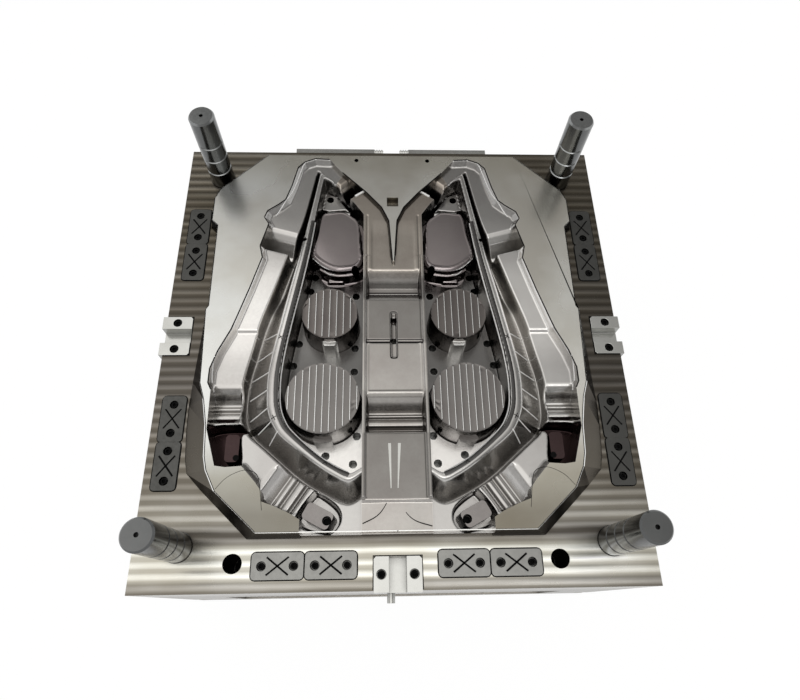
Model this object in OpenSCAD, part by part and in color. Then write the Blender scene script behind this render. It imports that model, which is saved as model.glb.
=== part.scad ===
// Moving (core) half of a two-impression injection mould, with its ejector set and lifters.
// The origin is the centre of the clamp face. X runs to the right, Y to the rear, Z up to the parting face.
// Inside on_rim() a point is given from the centre line, the front edge and the flat rim of the core plate.
// Where the two hands mirror each other, only the left one is drawn.

/* [Plates] */
// Width of every plate
plate_w = 960; // [940:10:1000]
// Depth of every plate, front to rear
plate_d = 1000; // [1000:10:1040]
// Thickness of the clamp plate
clamp_t = 60; // [50:5:80]
// Width of each spacer rail
rail_w = 120; // [100:5:120]
// Thickness of the core plate and its support plate together, below the rim
core_t = 230; // [220:10:260]
// Height of the parting land above the rim
land_h = 30; // [24:2:36]

/* [Core inserts] */
// Depth of the insert pocket below the rim
pocket_z = 110; // [100:5:120]
// Depth of the impression floor below the rim
floor_z = 50; // [40:5:60]
// Height of the wing faces above the rim
wing_h = 16; // [10:1:20]
// Height of the ridge above the rim
ridge_h = 25; // [22:1:28]
// Height of the centre spine above the rim
spine_h = 22; // [18:1:26]
// Radius of the small ribbed boss at its top
small_boss_r = 58; // [54:1:60]
// Radius of the large ribbed boss at its top
large_boss_r = 73; // [68:1:74]
// Distance between the grooves of a ribbed boss
groove_pitch = 13; // [11:1:16]

/* [Guiding and locking] */
// Diameter of a guide pin
guide_pin_d = 54; // [50:1:60]
// Height of a guide pin above the rim
guide_pin_h = 194; // [150:2:220]
// Distance of a guide pin from the centre line
guide_pin_x = 400; // [395:1:405]
// Distance of the front guide pins from the front edge
guide_pin_front = 80; // [78:1:90]
// Distance of the rear guide pins from the front edge
guide_pin_rear = 918; // [912:1:922]
// Length of a wear plate
wear_l = 94; // [88:1:94]
// Width of a wear plate
wear_w = 47; // [44:1:50]
// Distance between the two screws of a wear plate
wear_screw_gap = 58; // [54:1:62]
// Diameter of the two open bores in the front rim
rim_bore_d = 35; // [30:1:40]
// Length of an interlock block
lock_l = 88; // [84:1:96]
// Width of the channel in an interlock block
lock_channel = 32; // [28:1:36]

/* [Ejection] */
// Travel of the ejector set, which also sets the height of the spacer rails
stroke = 80; // [40:5:80]
// Diameter of an ejector pin
ejector_pin_d = 16; // [12:1:16]
// Lean of the lifters away from the vertical, in degrees
lifter_lean = 6; // [4:0.5:8]
// Thickness of the ejector plate
ejector_t = 35; // [30:1:36]
// Thickness of the retainer plate
retainer_t = 25; // [22:1:26]

/* [Hidden] */
$fn = 48;
steel = [0.62, 0.61, 0.59];
dark_steel = [0.3, 0.3, 0.3];
bright_steel = [0.8, 0.8, 0.78];
black_steel = [0.08, 0.08, 0.08];
brass = [0.72, 0.56, 0.28];

// Radial gap of a fitted pin, and of a bearing.
fit = 0.1;
running_fit = 0.08;
// How far a cutter runs past the face that it cuts.
past = 1;
// Height of a cutter that clears everything above a pocket.
clear_h = 40;

// The stack of plates, from the clamp face up.
stop_t = 5;
stroke_reserve = 55;
rail_h = stop_t + ejector_t + retainer_t + stroke + stroke_reserve;
rim_z = clamp_t + rail_h + core_t;
ejector_z = clamp_t + stop_t;
retainer_z = ejector_z + ejector_t;
retainer_top = retainer_z + retainer_t;
ejector_w = plate_w - 2 * rail_w - 20;
ejector_d = plate_d - 20;
clamp_slot_w = 25;
clamp_slot_h = 30;
knockout_r = 25;
knockout_gap = 120;
knockout_thread_r = 12;

// Parting land: its left edge at the top and at the foot, from the rear to the front.
land_top = [[-292, 964], [-394, 864], [-405, 838], [-405, 778], [-391, 764], [-389, 560], [-394, 552],
    [-387, 388], [-376, 354], [-366, 300], [-362, 240], [-356, 214], [-336, 174], [-256, 100]];
land_foot = [[-296, 970], [-402, 868], [-413, 840], [-413, 776], [-399, 762], [-397, 560], [-402, 552],
    [-410, 400], [-412, 350], [-411, 300], [-406, 240], [-400, 214], [-372, 184], [-276, 92]];

// Left edge of the tongue of the land that reaches down between the two arms of the spine.
tongue = [[-2, 671], [-9, 778], [-25, 815], [-59, 856], [-116, 914]];

// Outer edge of the left impression, from its rear corner round to the front.
wing_edge = [[-147, 953], [-181, 955], [-205, 945], [-220, 929], [-232, 875], [-244, 836], [-259, 822],
    [-283, 804], [-289, 786], [-278, 768], [-293, 710], [-286, 680], [-307, 603], [-329, 530],
    [-337, 505], [-359, 457], [-371, 418], [-371, 388], [-364, 374], [-363, 293], [-341, 222],
    [-321, 219], [-291, 221], [-262, 189], [-251, 174], [-249, 155], [-227, 147], [-196, 133],
    [-178, 122], [-178, 96]];

// Seam between the left core insert and the spine, from the rear to the front.
seam = [[-132, 883], [-87, 832], [-66, 801], [-66, 96]];

// Ridge of the left impression at stations from its apex to the spine.
// Each station gives the outer foot, the outer edge, the inner edge and the inner foot.
ridge = [
    [[-176, 930], [-169, 924], [-160, 902], [-159, 890]],
    [[-203, 785], [-192, 781], [-177, 781], [-176, 781]],
    [[-232, 698], [-206, 698], [-187, 698], [-186, 698]],
    [[-257, 610], [-222, 614], [-200, 616], [-199, 616]],
    [[-280, 532], [-238, 524], [-216, 526], [-215, 526]],
    [[-294, 463], [-249, 461], [-226, 462], [-225, 462]],
    [[-304, 414], [-255, 412], [-231, 412], [-230, 412]],
    [[-308, 370], [-255, 371], [-231, 371], [-230, 371]],
    [[-305, 320], [-251, 335], [-228, 340], [-227, 341]],
    [[-288, 286], [-239, 303], [-219, 313], [-218, 315]],
    [[-257, 258], [-219, 277], [-203, 288], [-201, 290]],
    [[-198, 207], [-158, 228], [-151, 240], [-149, 243]],
    [[-158, 180], [-120, 203], [-115, 217], [-113, 221]],
    [[-96, 151], [-90, 191], [-91, 206], [-92, 210]],
    [[-66, 162], [-66, 204], [-66, 218], [-66, 223]]];

// Slots across the outer face of the ridge: foot end and top end.
rib_slots = [
    [[-276, 505], [-240, 497]],
    [[-290, 455], [-249, 457]],
    [[-296, 409], [-254, 412]],
    [[-297, 366], [-255, 374]],
    [[-292, 322], [-251, 337]],
    [[-274, 294], [-242, 310]],
    [[-250, 271], [-228, 290]]];

// Ejector pins of the left impression.
floor_pins = [[-178, 675], [-187, 639], [-84, 660], [-84, 626], [-207, 507], [-85, 496], [-217, 455],
    [-86, 441], [-79, 298], [-142, 257], [-86, 240]];
apex_pin = [-147, 873];
insert_pins = concat(floor_pins, [apex_pin]);
apex_floor = -20;
sprue_at = [-2, 482];

small_boss_at = [-136, 545];
large_boss_at = [-145, 357];
boss_top = 25;
boss_draft = 3;
// Lug on the front of each boss: its width, how far it stands out, and its top.
small_lug = [26, 10, 8];
large_lug = [38, 9, -8];
pad_edge = [[-160, 806], [-98, 806], [-74, 778], [-72, 690], [-110, 666], [-150, 680], [-182, 702]];
ledge_edge = [[-184, 702], [-166, 690], [-158, 662], [-138, 648], [-120, 640], [-100, 652], [-92, 676],
    [-72, 690]];

// Pockets and recesses in the wing of the left impression.
wing_step_y = 506;
wing_step = 5;
roller_pocket_at = [-254, 727];
roller_pocket_r = 36;
banded_pocket_at = [-372, 317];
banded_pocket = [65, 68, 14];
band_y = [330, 350, 370];
upper_recess = [[-370, 297], [-326, 307], [-289, 303], [-287, 290], [-300, 282], [-297, 228], [-321, 224],
    [-348, 224], [-362, 250]];
lower_recess = [[-247, 187], [-252, 157], [-227, 149], [-196, 134], [-164, 182], [-196, 205], [-222, 215]];
front_recess = [[-186, 128], [-178, 112], [-140, 100], [-120, 100], [-106, 122], [-112, 146], [-146, 174],
    [-158, 172]];
recess_bar_at = [-206, 170];
recess_bar_turn = 57;
apex_step = [[-172, 905], [-180, 842], [-112, 842], [-92, 828], [-138, 888]];
ridge_hole_at = [-196, 730];

// The centre insert, between the two impressions.
spine_x = 57;
spine_front = 157;
spine_rear = 801;
cross_pockets = [[283, 84], [581, 70]];
pocket_bar_y = [300, 325, 347, 597, 615, 634];
runner_depth = 7;
sprue_r = 6;
arm_trough_at = [-97, 874];
arm_trough_r = 24;

// Round shank that holds a boss or a pad core in the impression floor.
shank_at = [-124, 740];
shank_r = 25;
shank_l = 20;
pad_arch_r = 260;

pin_recess = 30;
pin_head_h = 8;
pin_head_over = 4;
pin_hole_r = 9.5;

// Lifters: where the head meets the rim level, which way it moves as it rises, and its size.
upper_lifter = [[-318, 262], 90, [54, 27]];
lower_lifter = [[-146, 130], 152, [54, 33]];
lifters = [upper_lifter, lower_lifter];
lifter_rod_r = 10;
head_depth = 70;
bush_l = 60;
bush_r = 18;
// The foot of a lifter slides in a gib on the retainer plate.
gib_z = retainer_top - rim_z;
gib_size = [80, 50, 35];
foot_size = [40, 30, 12];
foot_lift = 5.5;
neck_w = 16;
gib_gap = 0.3;

wear_t = 14;
wear_proud = 2;
wear_screw_d = 8;
wear_screw_sink = 9;
wear_screw_hold = 20;
wear_groove = [50, 3, 1.5];
wear_groove_turn = 38;
// Wear plates: centre and direction of the long side.
wear_front = [for (x = [-217, -121, 121, 217]) [x, 45, 0]];
wear_side = [for (s = [-1, 1], y = [229, 323, 686, 780]) [s * 440.5, y, 90]];
wear_plates = concat(wear_front, wear_side);

lock_w = 62;
lock_h = 45;
lock_proud = 2;
lock_channel_h = 25;
lock_screw_d = 10;
lock_screw_sink = 12;
lock_screw_hold = 24;
lock_screw_at = (lock_channel + lock_l) / 4;
// Interlocks: centre and direction of the long side.
lock_left = [-457, 504, -90];
lock_right = [457, 504, 90];
lock_front = [0, 28, 0];
locks = [lock_left, lock_right, lock_front];

guide_pin_seat = 15;
guide_pins = [for (s = [-1, 1], y = [guide_pin_front, guide_pin_rear]) [s * guide_pin_x, y]];
pillars = [[0, 300], [0, 680], [-290, 480], [290, 480], [-290, 720], [290, 720]];
pillar_r = 30;
guide_rods = [[-300, 100], [300, 100], [-300, 900], [300, 900]];
guide_rod_r = 15;
guide_bush_t = 7;
guide_rod_hold = 40;
stop_buttons = [[-320, 40], [320, 40], [-320, 960], [320, 960], [0, 60], [0, 940]];
stop_button_r = 16;

// Screws up through the clamp plate and the rails into the support plate.
rail_screws = [for (s = [-1, 1], y = [140, 380, 620, 860]) [s * (plate_w / 2 - rail_w / 2), y]];
rail_screw_d = 24;
rail_screw_sink = 26;
rail_screw_hold = 44;
// Screws up through the ejector plate into the retainer plate.
plate_screws = [for (s = [-1, 1], y = [60, 380, 600, 950]) [s * 210, y]];
plate_screw_d = 12;
plate_screw_sink = 13;
plate_screw_hold = 20;
// Screws from below that hold the core plate to the support plate.
frame_screw_left = [[-450, 200], [-450, 800], [-190, 40], [-190, 960]];
frame_screws = concat(frame_screw_left, [for (p = frame_screw_left) [-p[0], p[1]]]);
frame_screw_d = 16;
frame_screw_sink = 18;
frame_screw_hold = 35;

nipple_at = [-12, -56];
port_r = 6;
water_port_x = [-240, -140, 140, 240];
water_port_drop = 150;
lifting_thread_r = 16;
lifting_drop = 170;
rim_bores = [[-298.5, 50], [298.5, 50]];
rim_bore_depth = 100;
rear_bores = [[-84, 950], [84, 950]];
key_seat = [26, 25, 12];
key_seat_y = 817;
manifold_size = [190, 12, 14];
manifold_x = -232;

// ---- Helpers ----

function backwards(points) = [for (i = [len(points) - 1:-1:0]) points[i]];
function mirrored(points) = [for (p = backwards(points)) [-p[0], p[1]]];
function both_sides(points) = concat(points, mirrored(points));
function at_height(points, z) = [for (p = points) [p[0], p[1], z]];
function ridge_section(s) = concat(at_height([s[0], s[3]], -floor_z - 5), at_height([s[2], s[1]], ridge_h),
    at_height([s[0]], 12 - floor_z));

module on_rim() {
    translate([0, -plate_d / 2, rim_z]) children();
}

module on_base() {
    translate([0, -plate_d / 2, 0]) children();
}

module right_hand() {
    mirror([1, 0, 0]) children();
}

module both_hands() {
    children();
    right_hand() children();
}

module at_each(places) {
    for (p = places) translate([p[0], p[1], 0]) children();
}

// Turns what is drawn along X to the direction given with the place.
module turned(place) {
    translate([place[0], place[1], 0]) rotate(place[2]) children();
}

module rod(z0, z1, r) {
    translate([0, 0, z0]) cylinder(z1 - z0, r = r);
}

// A box centred on x and y, from z0 up to z1.
module slab(w, d, z0, z1) {
    translate([-w / 2, -d / 2, z0]) cube([w, d, z1 - z0]);
}

module prism(points, z0, z1) {
    translate([0, 0, z0]) linear_extrude(z1 - z0) polygon(points);
}

// A solid through closed rings of equal count, each ring anticlockwise as seen from the last one.
module loft(rings) {
    n = len(rings[0]);
    last = (len(rings) - 1) * n;
    bottom = [for (i = [0:n - 1]) i];
    top = [for (i = [n - 1:-1:0]) last + i];
    sides = [for (k = [0:n:last - n], i = [0:n - 1]) each let (j = (i + 1) % n)
        [[k + i, k + n + i, k + n + j], [k + i, k + n + j, k + j]]];
    polyhedron([for (ring = rings) each ring], concat([bottom, top], sides));
}

// A rectangle with round corners, on its centre.
module rounded_rect(l, w, r) {
    square([l - 2 * r, w], center = true);
    square([l, w - 2 * r], center = true);
    for (sx = [-1, 1], sy = [-1, 1]) translate([sx * (l / 2 - r), sy * (w / 2 - r)]) circle(r);
}

// A socket head screw that points down from the seat of its head.
module cap_screw(d, grip, hold) {
    difference() {
        union() {
            cylinder(d, r = 0.75 * d);
            rod(-grip - hold, 1, d / 2);
        }
        translate([0, 0, d / 2]) cylinder(d, r = 0.46 * d, $fn = 6);
    }
}

// The same screw, pointing up from a counterbore in the lower face of a plate.
module screw_from_below(d, seat_z, grip, hold) {
    translate([0, 0, seat_z]) mirror([0, 0, 1]) cap_screw(d, grip, hold);
}

// ---- Plates ----

module clamp_plate() {
    color(steel) difference() {
        slab(plate_w, plate_d, 0, clamp_t);
        for (x = [-1, 0, 1] * knockout_gap) translate([x, 0, 0]) rod(-past, clamp_t + past, knockout_r);
        for (s = [-1, 1]) translate([s * plate_w / 2, 0, 0])
            slab(2 * clamp_slot_w, plate_d + 2 * past, clamp_t - clamp_slot_h, clamp_t + past);
        on_base() at_each(rail_screws) {
            rod(-past, clamp_t + past, rail_screw_d / 2 + fit);
            rod(-past, rail_screw_sink, 0.75 * rail_screw_d + past);
        }
    }
}

module spacer_rail() {
    color(steel) difference() {
        translate([-plate_w / 2, -plate_d / 2, clamp_t]) cube([rail_w, plate_d, rail_h]);
        on_base() at_each(rail_screws) rod(clamp_t - past, clamp_t + rail_h + past, rail_screw_d / 2 + fit);
    }
}

// The frame round the inserts, open at the bottom, with the raised parting land.
module core_plate() {
    color(steel) on_rim() difference() {
        union() {
            translate([0, plate_d / 2, 0]) slab(plate_w, plate_d, -pocket_z, 0);
            parting_land();
        }
        prism(both_sides(concat(tongue, wing_edge)), -pocket_z - past, land_h + past);
        // The land stops where the inserts run out to its front wall.
        translate([0, 90, 0]) slab(356, 20, 0, land_h + past);
        for (w = wear_plates) turned(w) wear_pocket();
        for (l = locks) turned(l) lock_pocket();
        guide_pin_bores();
        at_each(rim_bores) rod(-rim_bore_depth, past, rim_bore_d / 2);
        at_each(rear_bores) rod(land_h - 20, land_h + past, 5);
        at_each(frame_screws) rod(-pocket_z - past, -pocket_z + frame_screw_hold + past, frame_screw_d / 2);
        // Seat for the small key at the rear of the tongue.
        translate([-key_seat[0] / 2, key_seat_y, land_h - key_seat[2]]) cube([key_seat[0], key_seat[1], 20]);
        translate([nipple_at[0], 0, nipple_at[1]]) rotate([-90, 0, 0]) rod(-past, 40, port_r);
    }
}

// The raised land with drafted sides round the impressions.
module parting_land() {
    loft([at_height(both_sides(land_foot), -5), at_height(both_sides(land_foot), 0),
        at_height(both_sides(land_top), land_h)]);
}

module wear_pocket() {
    translate([0, 0, wear_proud - wear_t]) {
        linear_extrude(wear_t) rounded_rect(wear_l + 1, wear_w + 1, 8);
        for (s = [-1, 1]) translate([s * wear_screw_gap / 2, 0, 0])
            rod(-wear_screw_hold - 2, past, wear_screw_d / 2);
    }
}

// The pocket of an interlock, open to the nearest side of the plate.
module lock_pocket() {
    open = 40;
    translate([0, 0, lock_proud - lock_h]) {
        translate([-lock_l / 2, -lock_w / 2 - open, 0]) cube([lock_l, lock_w + open, lock_h]);
        for (s = [-1, 1]) translate([s * lock_screw_at, 0, 0])
            rod(-lock_screw_hold - 2, past, lock_screw_d / 2);
    }
}

module guide_pin_bores() {
    at_each(guide_pins) {
        rod(-core_t - past, past, guide_pin_d / 2 + 1);
        rod(-core_t - past, -core_t + guide_pin_seat, guide_pin_d / 2 + 6);
    }
}

// The plate under the frame, which carries the inserts and guides the ejector pins and lifter rods.
module support_plate() {
    color(steel) on_rim() difference() {
        translate([0, plate_d / 2, 0]) slab(plate_w, plate_d, -core_t, -pocket_z);
        guide_pin_bores();
        side_ports();
        at_each(rail_screws) rod(-core_t - past, -core_t + rail_screw_hold + 5, rail_screw_d / 2);
        at_each(guide_rods) rod(-core_t - past, -core_t + guide_rod_hold, guide_rod_r);
        at_each(frame_screws) {
            rod(-core_t - past, past - pocket_z, frame_screw_d / 2 + 0.5);
            rod(-core_t - past, -core_t + frame_screw_sink, 0.8 * frame_screw_d);
        }
        at_each([sprue_at]) rod(-core_t - past, past - pocket_z, sprue_r + 1);
        both_hands() at_each(insert_pins) rod(-core_t - past, past - pocket_z, pin_hole_r);
        both_hands() for (l = lifters) {
            lifter_axis(l) rod(-core_t - 20, -20, lifter_rod_r + 3);
            lifter_bush_seat(l, past);
        }
    }
}

// Lifting threads in the sides and cooling ports in the rear face of the support plate.
module side_ports() {
    for (s = [-1, 1]) translate([s * (plate_w / 2 + past), plate_d / 2, -lifting_drop])
        rotate([0, -s * 90, 0]) cylinder(71, r = lifting_thread_r);
    for (x = water_port_x) translate([x, plate_d + past, -water_port_drop])
        rotate([90, 0, 0]) cylinder(61, r = port_r);
}

// ---- Left core insert ----

module core_insert() {
    color(steel) on_rim() difference() {
        union() {
            difference() {
                prism(concat([tongue[4]], wing_edge, backwards(seam)), -pocket_z, wing_h);
                impression_pocket();
                wing_pockets();
            }
            ridge_wall();
            wing_bars();
            prism(apex_step, -floor_z - 2, apex_floor);
        }
        at_each(insert_pins) rod(-pocket_z - past, land_h, ejector_pin_d / 2 + fit);
        at_each([small_boss_at, large_boss_at, shank_at]) rod(-floor_z - shank_l, past - floor_z, shank_r);
        at_each([ridge_hole_at]) rod(ridge_h - 14, ridge_h + past, 4.2);
        for (l = lifters) lifter_axis(l) {
            lifter_head(l[2] + [0.5, 0.5], 8);
            rod(-pocket_z - 20, -20, lifter_rod_r + 3);
        }
    }
}

module impression_pocket() {
    outer = [for (i = [1:len(ridge) - 1]) ridge[i][0]];
    prism(concat([[-168, 910]], outer, [[-60, 162], [-60, 802], [-87, 832], [-138, 889]]), -floor_z, land_h);
}

// The ridge that stands along the outer side of the impression, with its slots.
module ridge_wall() {
    difference() {
        loft([for (s = ridge) ridge_section(s)]);
        for (slot = rib_slots) rib_slot(slot[0], slot[1]);
    }
}

// A narrow slot cut along the sloping outer face of the ridge, from a low point to a high one.
module rib_slot(a, b) {
    run = norm(b - a);
    rise = 55;
    translate([a[0], a[1], -26]) rotate([0, -atan2(rise, run), atan2(b[1] - a[1], b[0] - a[0])])
        translate([-4, -1.2, -3]) cube([norm([run, rise]) + 4, 2.4, 14]);
}

module wing_pockets() {
    // Lower level of the wing in front of its step.
    translate([-400, 300, wing_h - wing_step]) cube([200, wing_step_y - 300, clear_h]);
    translate([roller_pocket_at[0], roller_pocket_at[1], wing_h - 4]) rotate([0, 90, -16])
        cylinder(80, r = roller_pocket_r, center = true);
    translate([banded_pocket_at[0], banded_pocket_at[1], -banded_pocket[2]])
        cube([banded_pocket[0], banded_pocket[1], clear_h]);
    prism(lower_recess, -16, clear_h);
    prism(upper_recess, -30, clear_h);
    prism(front_recess, -30, clear_h);
}

// Round bars across the banded pocket and the recess beside the lower lifter.
module wing_bars() {
    intersection() {
        union() {
            for (y = band_y) translate([-366, y, -14]) rotate([0, 90, 0]) cylinder(59, r = 8);
            for (d = [-26, -4, 14]) translate([recess_bar_at[0] + d * 0.83, recess_bar_at[1] - d * 0.55, -15])
                rotate([0, 90, recess_bar_turn]) cylinder(48, r = 6, center = true);
        }
        prism(wing_edge, -40, wing_h);
    }
}

// ---- Centre insert ----

module centre_insert() {
    color(steel) on_rim() {
        difference() {
            union() {
                prism(both_sides(concat(tongue, seam)), -pocket_z, spine_h);
                for (s = [-1, 1]) translate([s * 63 - 3, spine_front, spine_h - 1])
                    cube([6, spine_rear - spine_front, 5]);
            }
            spine_recesses();
        }
        for (y = pocket_bar_y) translate([0, y, -9]) rotate([0, 90, 0])
            cylinder(2 * spine_x, r = 7, center = true);
    }
}

module spine_recesses() {
    for (y = cross_pockets) translate([-spine_x, y[0], -8]) cube([2 * spine_x, y[1], 60]);
    translate([-70, 90, spine_h - 8]) cube([140, spine_front - 90, clear_h]);
    for (x = [-15, 6]) translate([x, spine_front, spine_h - 4]) cube([6, 106, clear_h]);
    // Cross runner with its sprue well and cold slug well.
    translate([-7, 446, spine_h - runner_depth]) cube([12, 106, clear_h]);
    translate([-spine_x, 475, spine_h - runner_depth]) cube([2 * spine_x, 13, clear_h]);
    translate([-7, 514, spine_h - 20]) cube([12, 11, clear_h]);
    at_each([sprue_at]) rod(-pocket_z - past, clear_h, sprue_r + fit);
    both_hands() translate([arm_trough_at[0], arm_trough_at[1], spine_h + 4]) rotate([0, 90, -45])
        cylinder(92, r = arm_trough_r, center = true);
}

// ---- Cores in the impressions ----

module ribbed_boss(at, r, lug) {
    first = -groove_pitch * floor(r / groove_pitch);
    color(steel) on_rim() at_each([at]) difference() {
        union() {
            translate([0, 0, -floor_z]) cylinder(boss_top + floor_z, r1 = r + boss_draft, r2 = r);
            translate([0, -(r + lug[1]) / 2, 0]) slab(lug[0], r + lug[1], -floor_z, lug[2]);
            rod(-floor_z - shank_l, past - floor_z, shank_r);
        }
        for (x = [first:groove_pitch:r - 8]) translate([x, 0, boss_top + 1]) rotate([90, 0, 0])
            cylinder(2 * r - 8, r = groove_pitch / 3, center = true);
    }
}

module pad_core() {
    color(steel) on_rim() {
        intersection() {
            prism(pad_edge, -floor_z, 20);
            translate([-128, 0, 15 - pad_arch_r]) rotate([-90, 0, 0])
                cylinder(plate_d, r = pad_arch_r, $fn = 200);
        }
        prism(ledge_edge, -floor_z, -24);
        at_each([shank_at]) rod(-floor_z - shank_l, past - floor_z, shank_r);
    }
}

// ---- Guiding, wear and locking ----

module guide_pin(x, y) {
    r = guide_pin_d / 2;
    tip = guide_pin_h;
    grooves = [for (z = [44, 84, 124]) each [[r, z - 3], [r - 2, z - 1.5], [r - 2, z + 1.5], [r, z + 3]]];
    seat = guide_pin_seat - core_t;
    flange = [[0, -core_t], [r + 5.5, -core_t], [r + 5.5, seat], [r + 1, seat]];
    point = [[r, tip - 4], [r - 3, tip], [4, tip], [4, tip - 14], [0, tip - 14]];
    color(dark_steel) on_rim() translate([x, y, 0])
        rotate_extrude() polygon(concat(flange, [[r + 1, -6], [r, -6]], grooves, point));
}

module wear_plate(i) {
    color(dark_steel) on_rim() turned(wear_plates[i]) translate([0, 0, wear_proud - wear_t]) difference() {
        linear_extrude(wear_t) rounded_rect(wear_l, wear_w, 7);
        for (s = [-1, 1]) translate([s * wear_screw_gap / 2, 0, 0]) {
            rod(-past, wear_t + past, wear_screw_d / 2 + 0.2);
            rod(wear_t - wear_screw_sink, wear_t + past, 8.5);
        }
        for (s = [-1, 1]) rotate(s * wear_groove_turn)
            slab(wear_groove[0], wear_groove[1], wear_t - wear_groove[2], wear_t + past);
    }
}

module wear_plate_screws() {
    color(black_steel) on_rim() for (w = wear_plates) turned(w)
        for (s = [-1, 1]) translate([s * wear_screw_gap / 2, 0, wear_proud - wear_screw_sink])
            cap_screw(wear_screw_d, wear_t - wear_screw_sink, wear_screw_hold);
}

module interlock(place) {
    color(bright_steel) on_rim() turned(place) translate([0, 0, lock_proud - lock_h]) difference() {
        slab(lock_l, lock_w, 0, lock_h);
        slab(lock_channel, 2 * lock_w, lock_h - lock_channel_h, lock_h + past);
        for (s = [-1, 1]) translate([s * lock_screw_at, 0, 0]) {
            rod(-past, lock_h + past, lock_screw_d / 2 + 0.2);
            rod(lock_h - lock_screw_sink, lock_h + past, 9);
        }
        // Chamfers on the two inner corners.
        for (s = [-1, 1]) translate([s * lock_l / 2, lock_w / 2, 0]) rotate(45)
            slab(6, 6, -past, lock_h + past);
    }
}

module interlock_screws() {
    color(black_steel) on_rim() for (l = locks) turned(l)
        for (s = [-1, 1]) translate([s * lock_screw_at, 0, lock_proud - lock_screw_sink])
            cap_screw(lock_screw_d, lock_h - lock_screw_sink, lock_screw_hold);
}

// ---- Lifters ----

// The frame of a lifter: its local Z is the way it moves, its local X lies over the lean.
module lifter_axis(l) {
    translate([l[0][0], l[0][1], 0]) rotate([0, 0, l[1]]) rotate([0, lifter_lean, 0]) children();
}

// The frame of a lifter's foot, upright over the place where the foot stands on the retainer plate.
module lifter_base(l) {
    translate([l[0][0], l[0][1], 0]) rotate([0, 0, l[1]])
        translate([(gib_z + 20) * tan(lifter_lean), 0, gib_z]) children();
}

module lifter_head(size, corner) {
    translate([0, 0, -head_depth]) linear_extrude(head_depth + clear_h)
        rounded_rect(size[0], size[1], corner);
}

module lifter_bush_seat(l, below) {
    intersection() {
        lifter_axis(l) rod(-core_t - 20, -core_t + bush_l, bush_r);
        translate([0, plate_d / 2, 0]) slab(plate_w, plate_d, -core_t - below, 0);
    }
}

module lifter(l, top, hole) {
    color(steel) on_rim() difference() {
        union() {
            intersection() {
                lifter_axis(l) lifter_head(l[2], 7.8);
                translate([0, plate_d / 2, 0]) slab(plate_w, plate_d, -core_t, top);
            }
            intersection() {
                lifter_axis(l) rod(gib_z, 4 - head_depth, lifter_rod_r);
                translate([0, plate_d / 2, 0]) slab(plate_w, plate_d, gib_z + 38, 0);
            }
            lifter_base(l) {
                slab(foot_size[0], foot_size[1], foot_lift, foot_lift + foot_size[2]);
                slab(28, neck_w, 10, 44);
            }
        }
        if (hole > 0) translate([l[0][0], l[0][1], 0]) rotate(l[1]) translate([-18, 0, 0])
            rod(top - 20, top + past, hole);
    }
}

module lifter_bushes() {
    color("peru") on_rim() both_hands() for (l = lifters) difference() {
        lifter_bush_seat(l, 0);
        lifter_axis(l) rod(-core_t - 30, -core_t + bush_l + 50, lifter_rod_r + running_fit);
    }
}

// A block on the retainer plate with the slot in which the foot slides as the lifter rises.
module lifter_gib(l) {
    lifter_base(l) translate([-4, 0, 0]) difference() {
        slab(gib_size[0], gib_size[1], 0, gib_size[2]);
        slab(2 * gib_size[0], foot_size[1] + 2 * gib_gap, 5, foot_size[2] + 6);
        slab(2 * gib_size[0], neck_w + 2 * gib_gap, 10, gib_size[2] + past);
    }
}

module lifter_gibs() {
    color(dark_steel) on_rim() both_hands() for (l = lifters) lifter_gib(l);
}

// ---- Ejector set ----

module ejector_plate() {
    color(steel) difference() {
        slab(ejector_w, ejector_d, ejector_z, retainer_z);
        on_base() {
            at_each(pillars) rod(ejector_z - past, retainer_z + past, pillar_r + 3);
            at_each(guide_rods) rod(ejector_z - past, retainer_z + past, guide_rod_r + guide_bush_t);
            at_each(plate_screws) {
                rod(ejector_z - past, retainer_z + past, plate_screw_d / 2 + 0.2);
                rod(ejector_z - past, ejector_z + plate_screw_sink, 10);
            }
        }
        for (s = [-1, 1]) translate([s * knockout_gap, 0, 0])
            rod(ejector_z - past, retainer_z - past, knockout_thread_r);
    }
}

module retainer_plate() {
    color(steel) difference() {
        slab(ejector_w, ejector_d, retainer_z, retainer_top);
        on_base() {
            at_each(pillars) rod(retainer_z - past, retainer_top + past, pillar_r + 3);
            at_each(guide_rods) rod(retainer_z - past, retainer_top + past, guide_rod_r + guide_bush_t);
            at_each(plate_screws) rod(retainer_z - past, retainer_z + plate_screw_hold, plate_screw_d / 2);
            both_hands() at_each(insert_pins) pin_seat(ejector_pin_d / 2);
            at_each([sprue_at]) pin_seat(sprue_r);
        }
    }
}

module pin_seat(r) {
    rod(retainer_z - past, retainer_top + past, r + 0.4);
    rod(retainer_z - past, retainer_z + pin_head_h, r + pin_head_over + 0.4);
}

// A pin whose head lies in the retainer plate, up to a tip below the face of the insert.
module headed_pin(r, tip) {
    rod(retainer_z, retainer_z + pin_head_h, r + pin_head_over);
    rod(retainer_z, rim_z + tip, r);
}

module ejector_pins() {
    color(bright_steel) on_base() both_hands() {
        at_each(floor_pins) headed_pin(ejector_pin_d / 2, -floor_z - pin_recess);
        at_each([apex_pin]) headed_pin(ejector_pin_d / 2, apex_floor - pin_recess);
    }
}

module sprue_puller() {
    color(bright_steel) on_base() at_each([sprue_at])
        headed_pin(sprue_r, spine_h - runner_depth - pin_recess);
}

module ejector_plate_screws() {
    color(black_steel) on_base() at_each(plate_screws)
        screw_from_below(plate_screw_d, ejector_z + plate_screw_sink, ejector_t - plate_screw_sink,
            plate_screw_hold);
}

module ejector_guide_rods() {
    color(bright_steel) on_base() at_each(guide_rods)
        rod(clamp_t, clamp_t + rail_h + guide_rod_hold, guide_rod_r);
}

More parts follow.
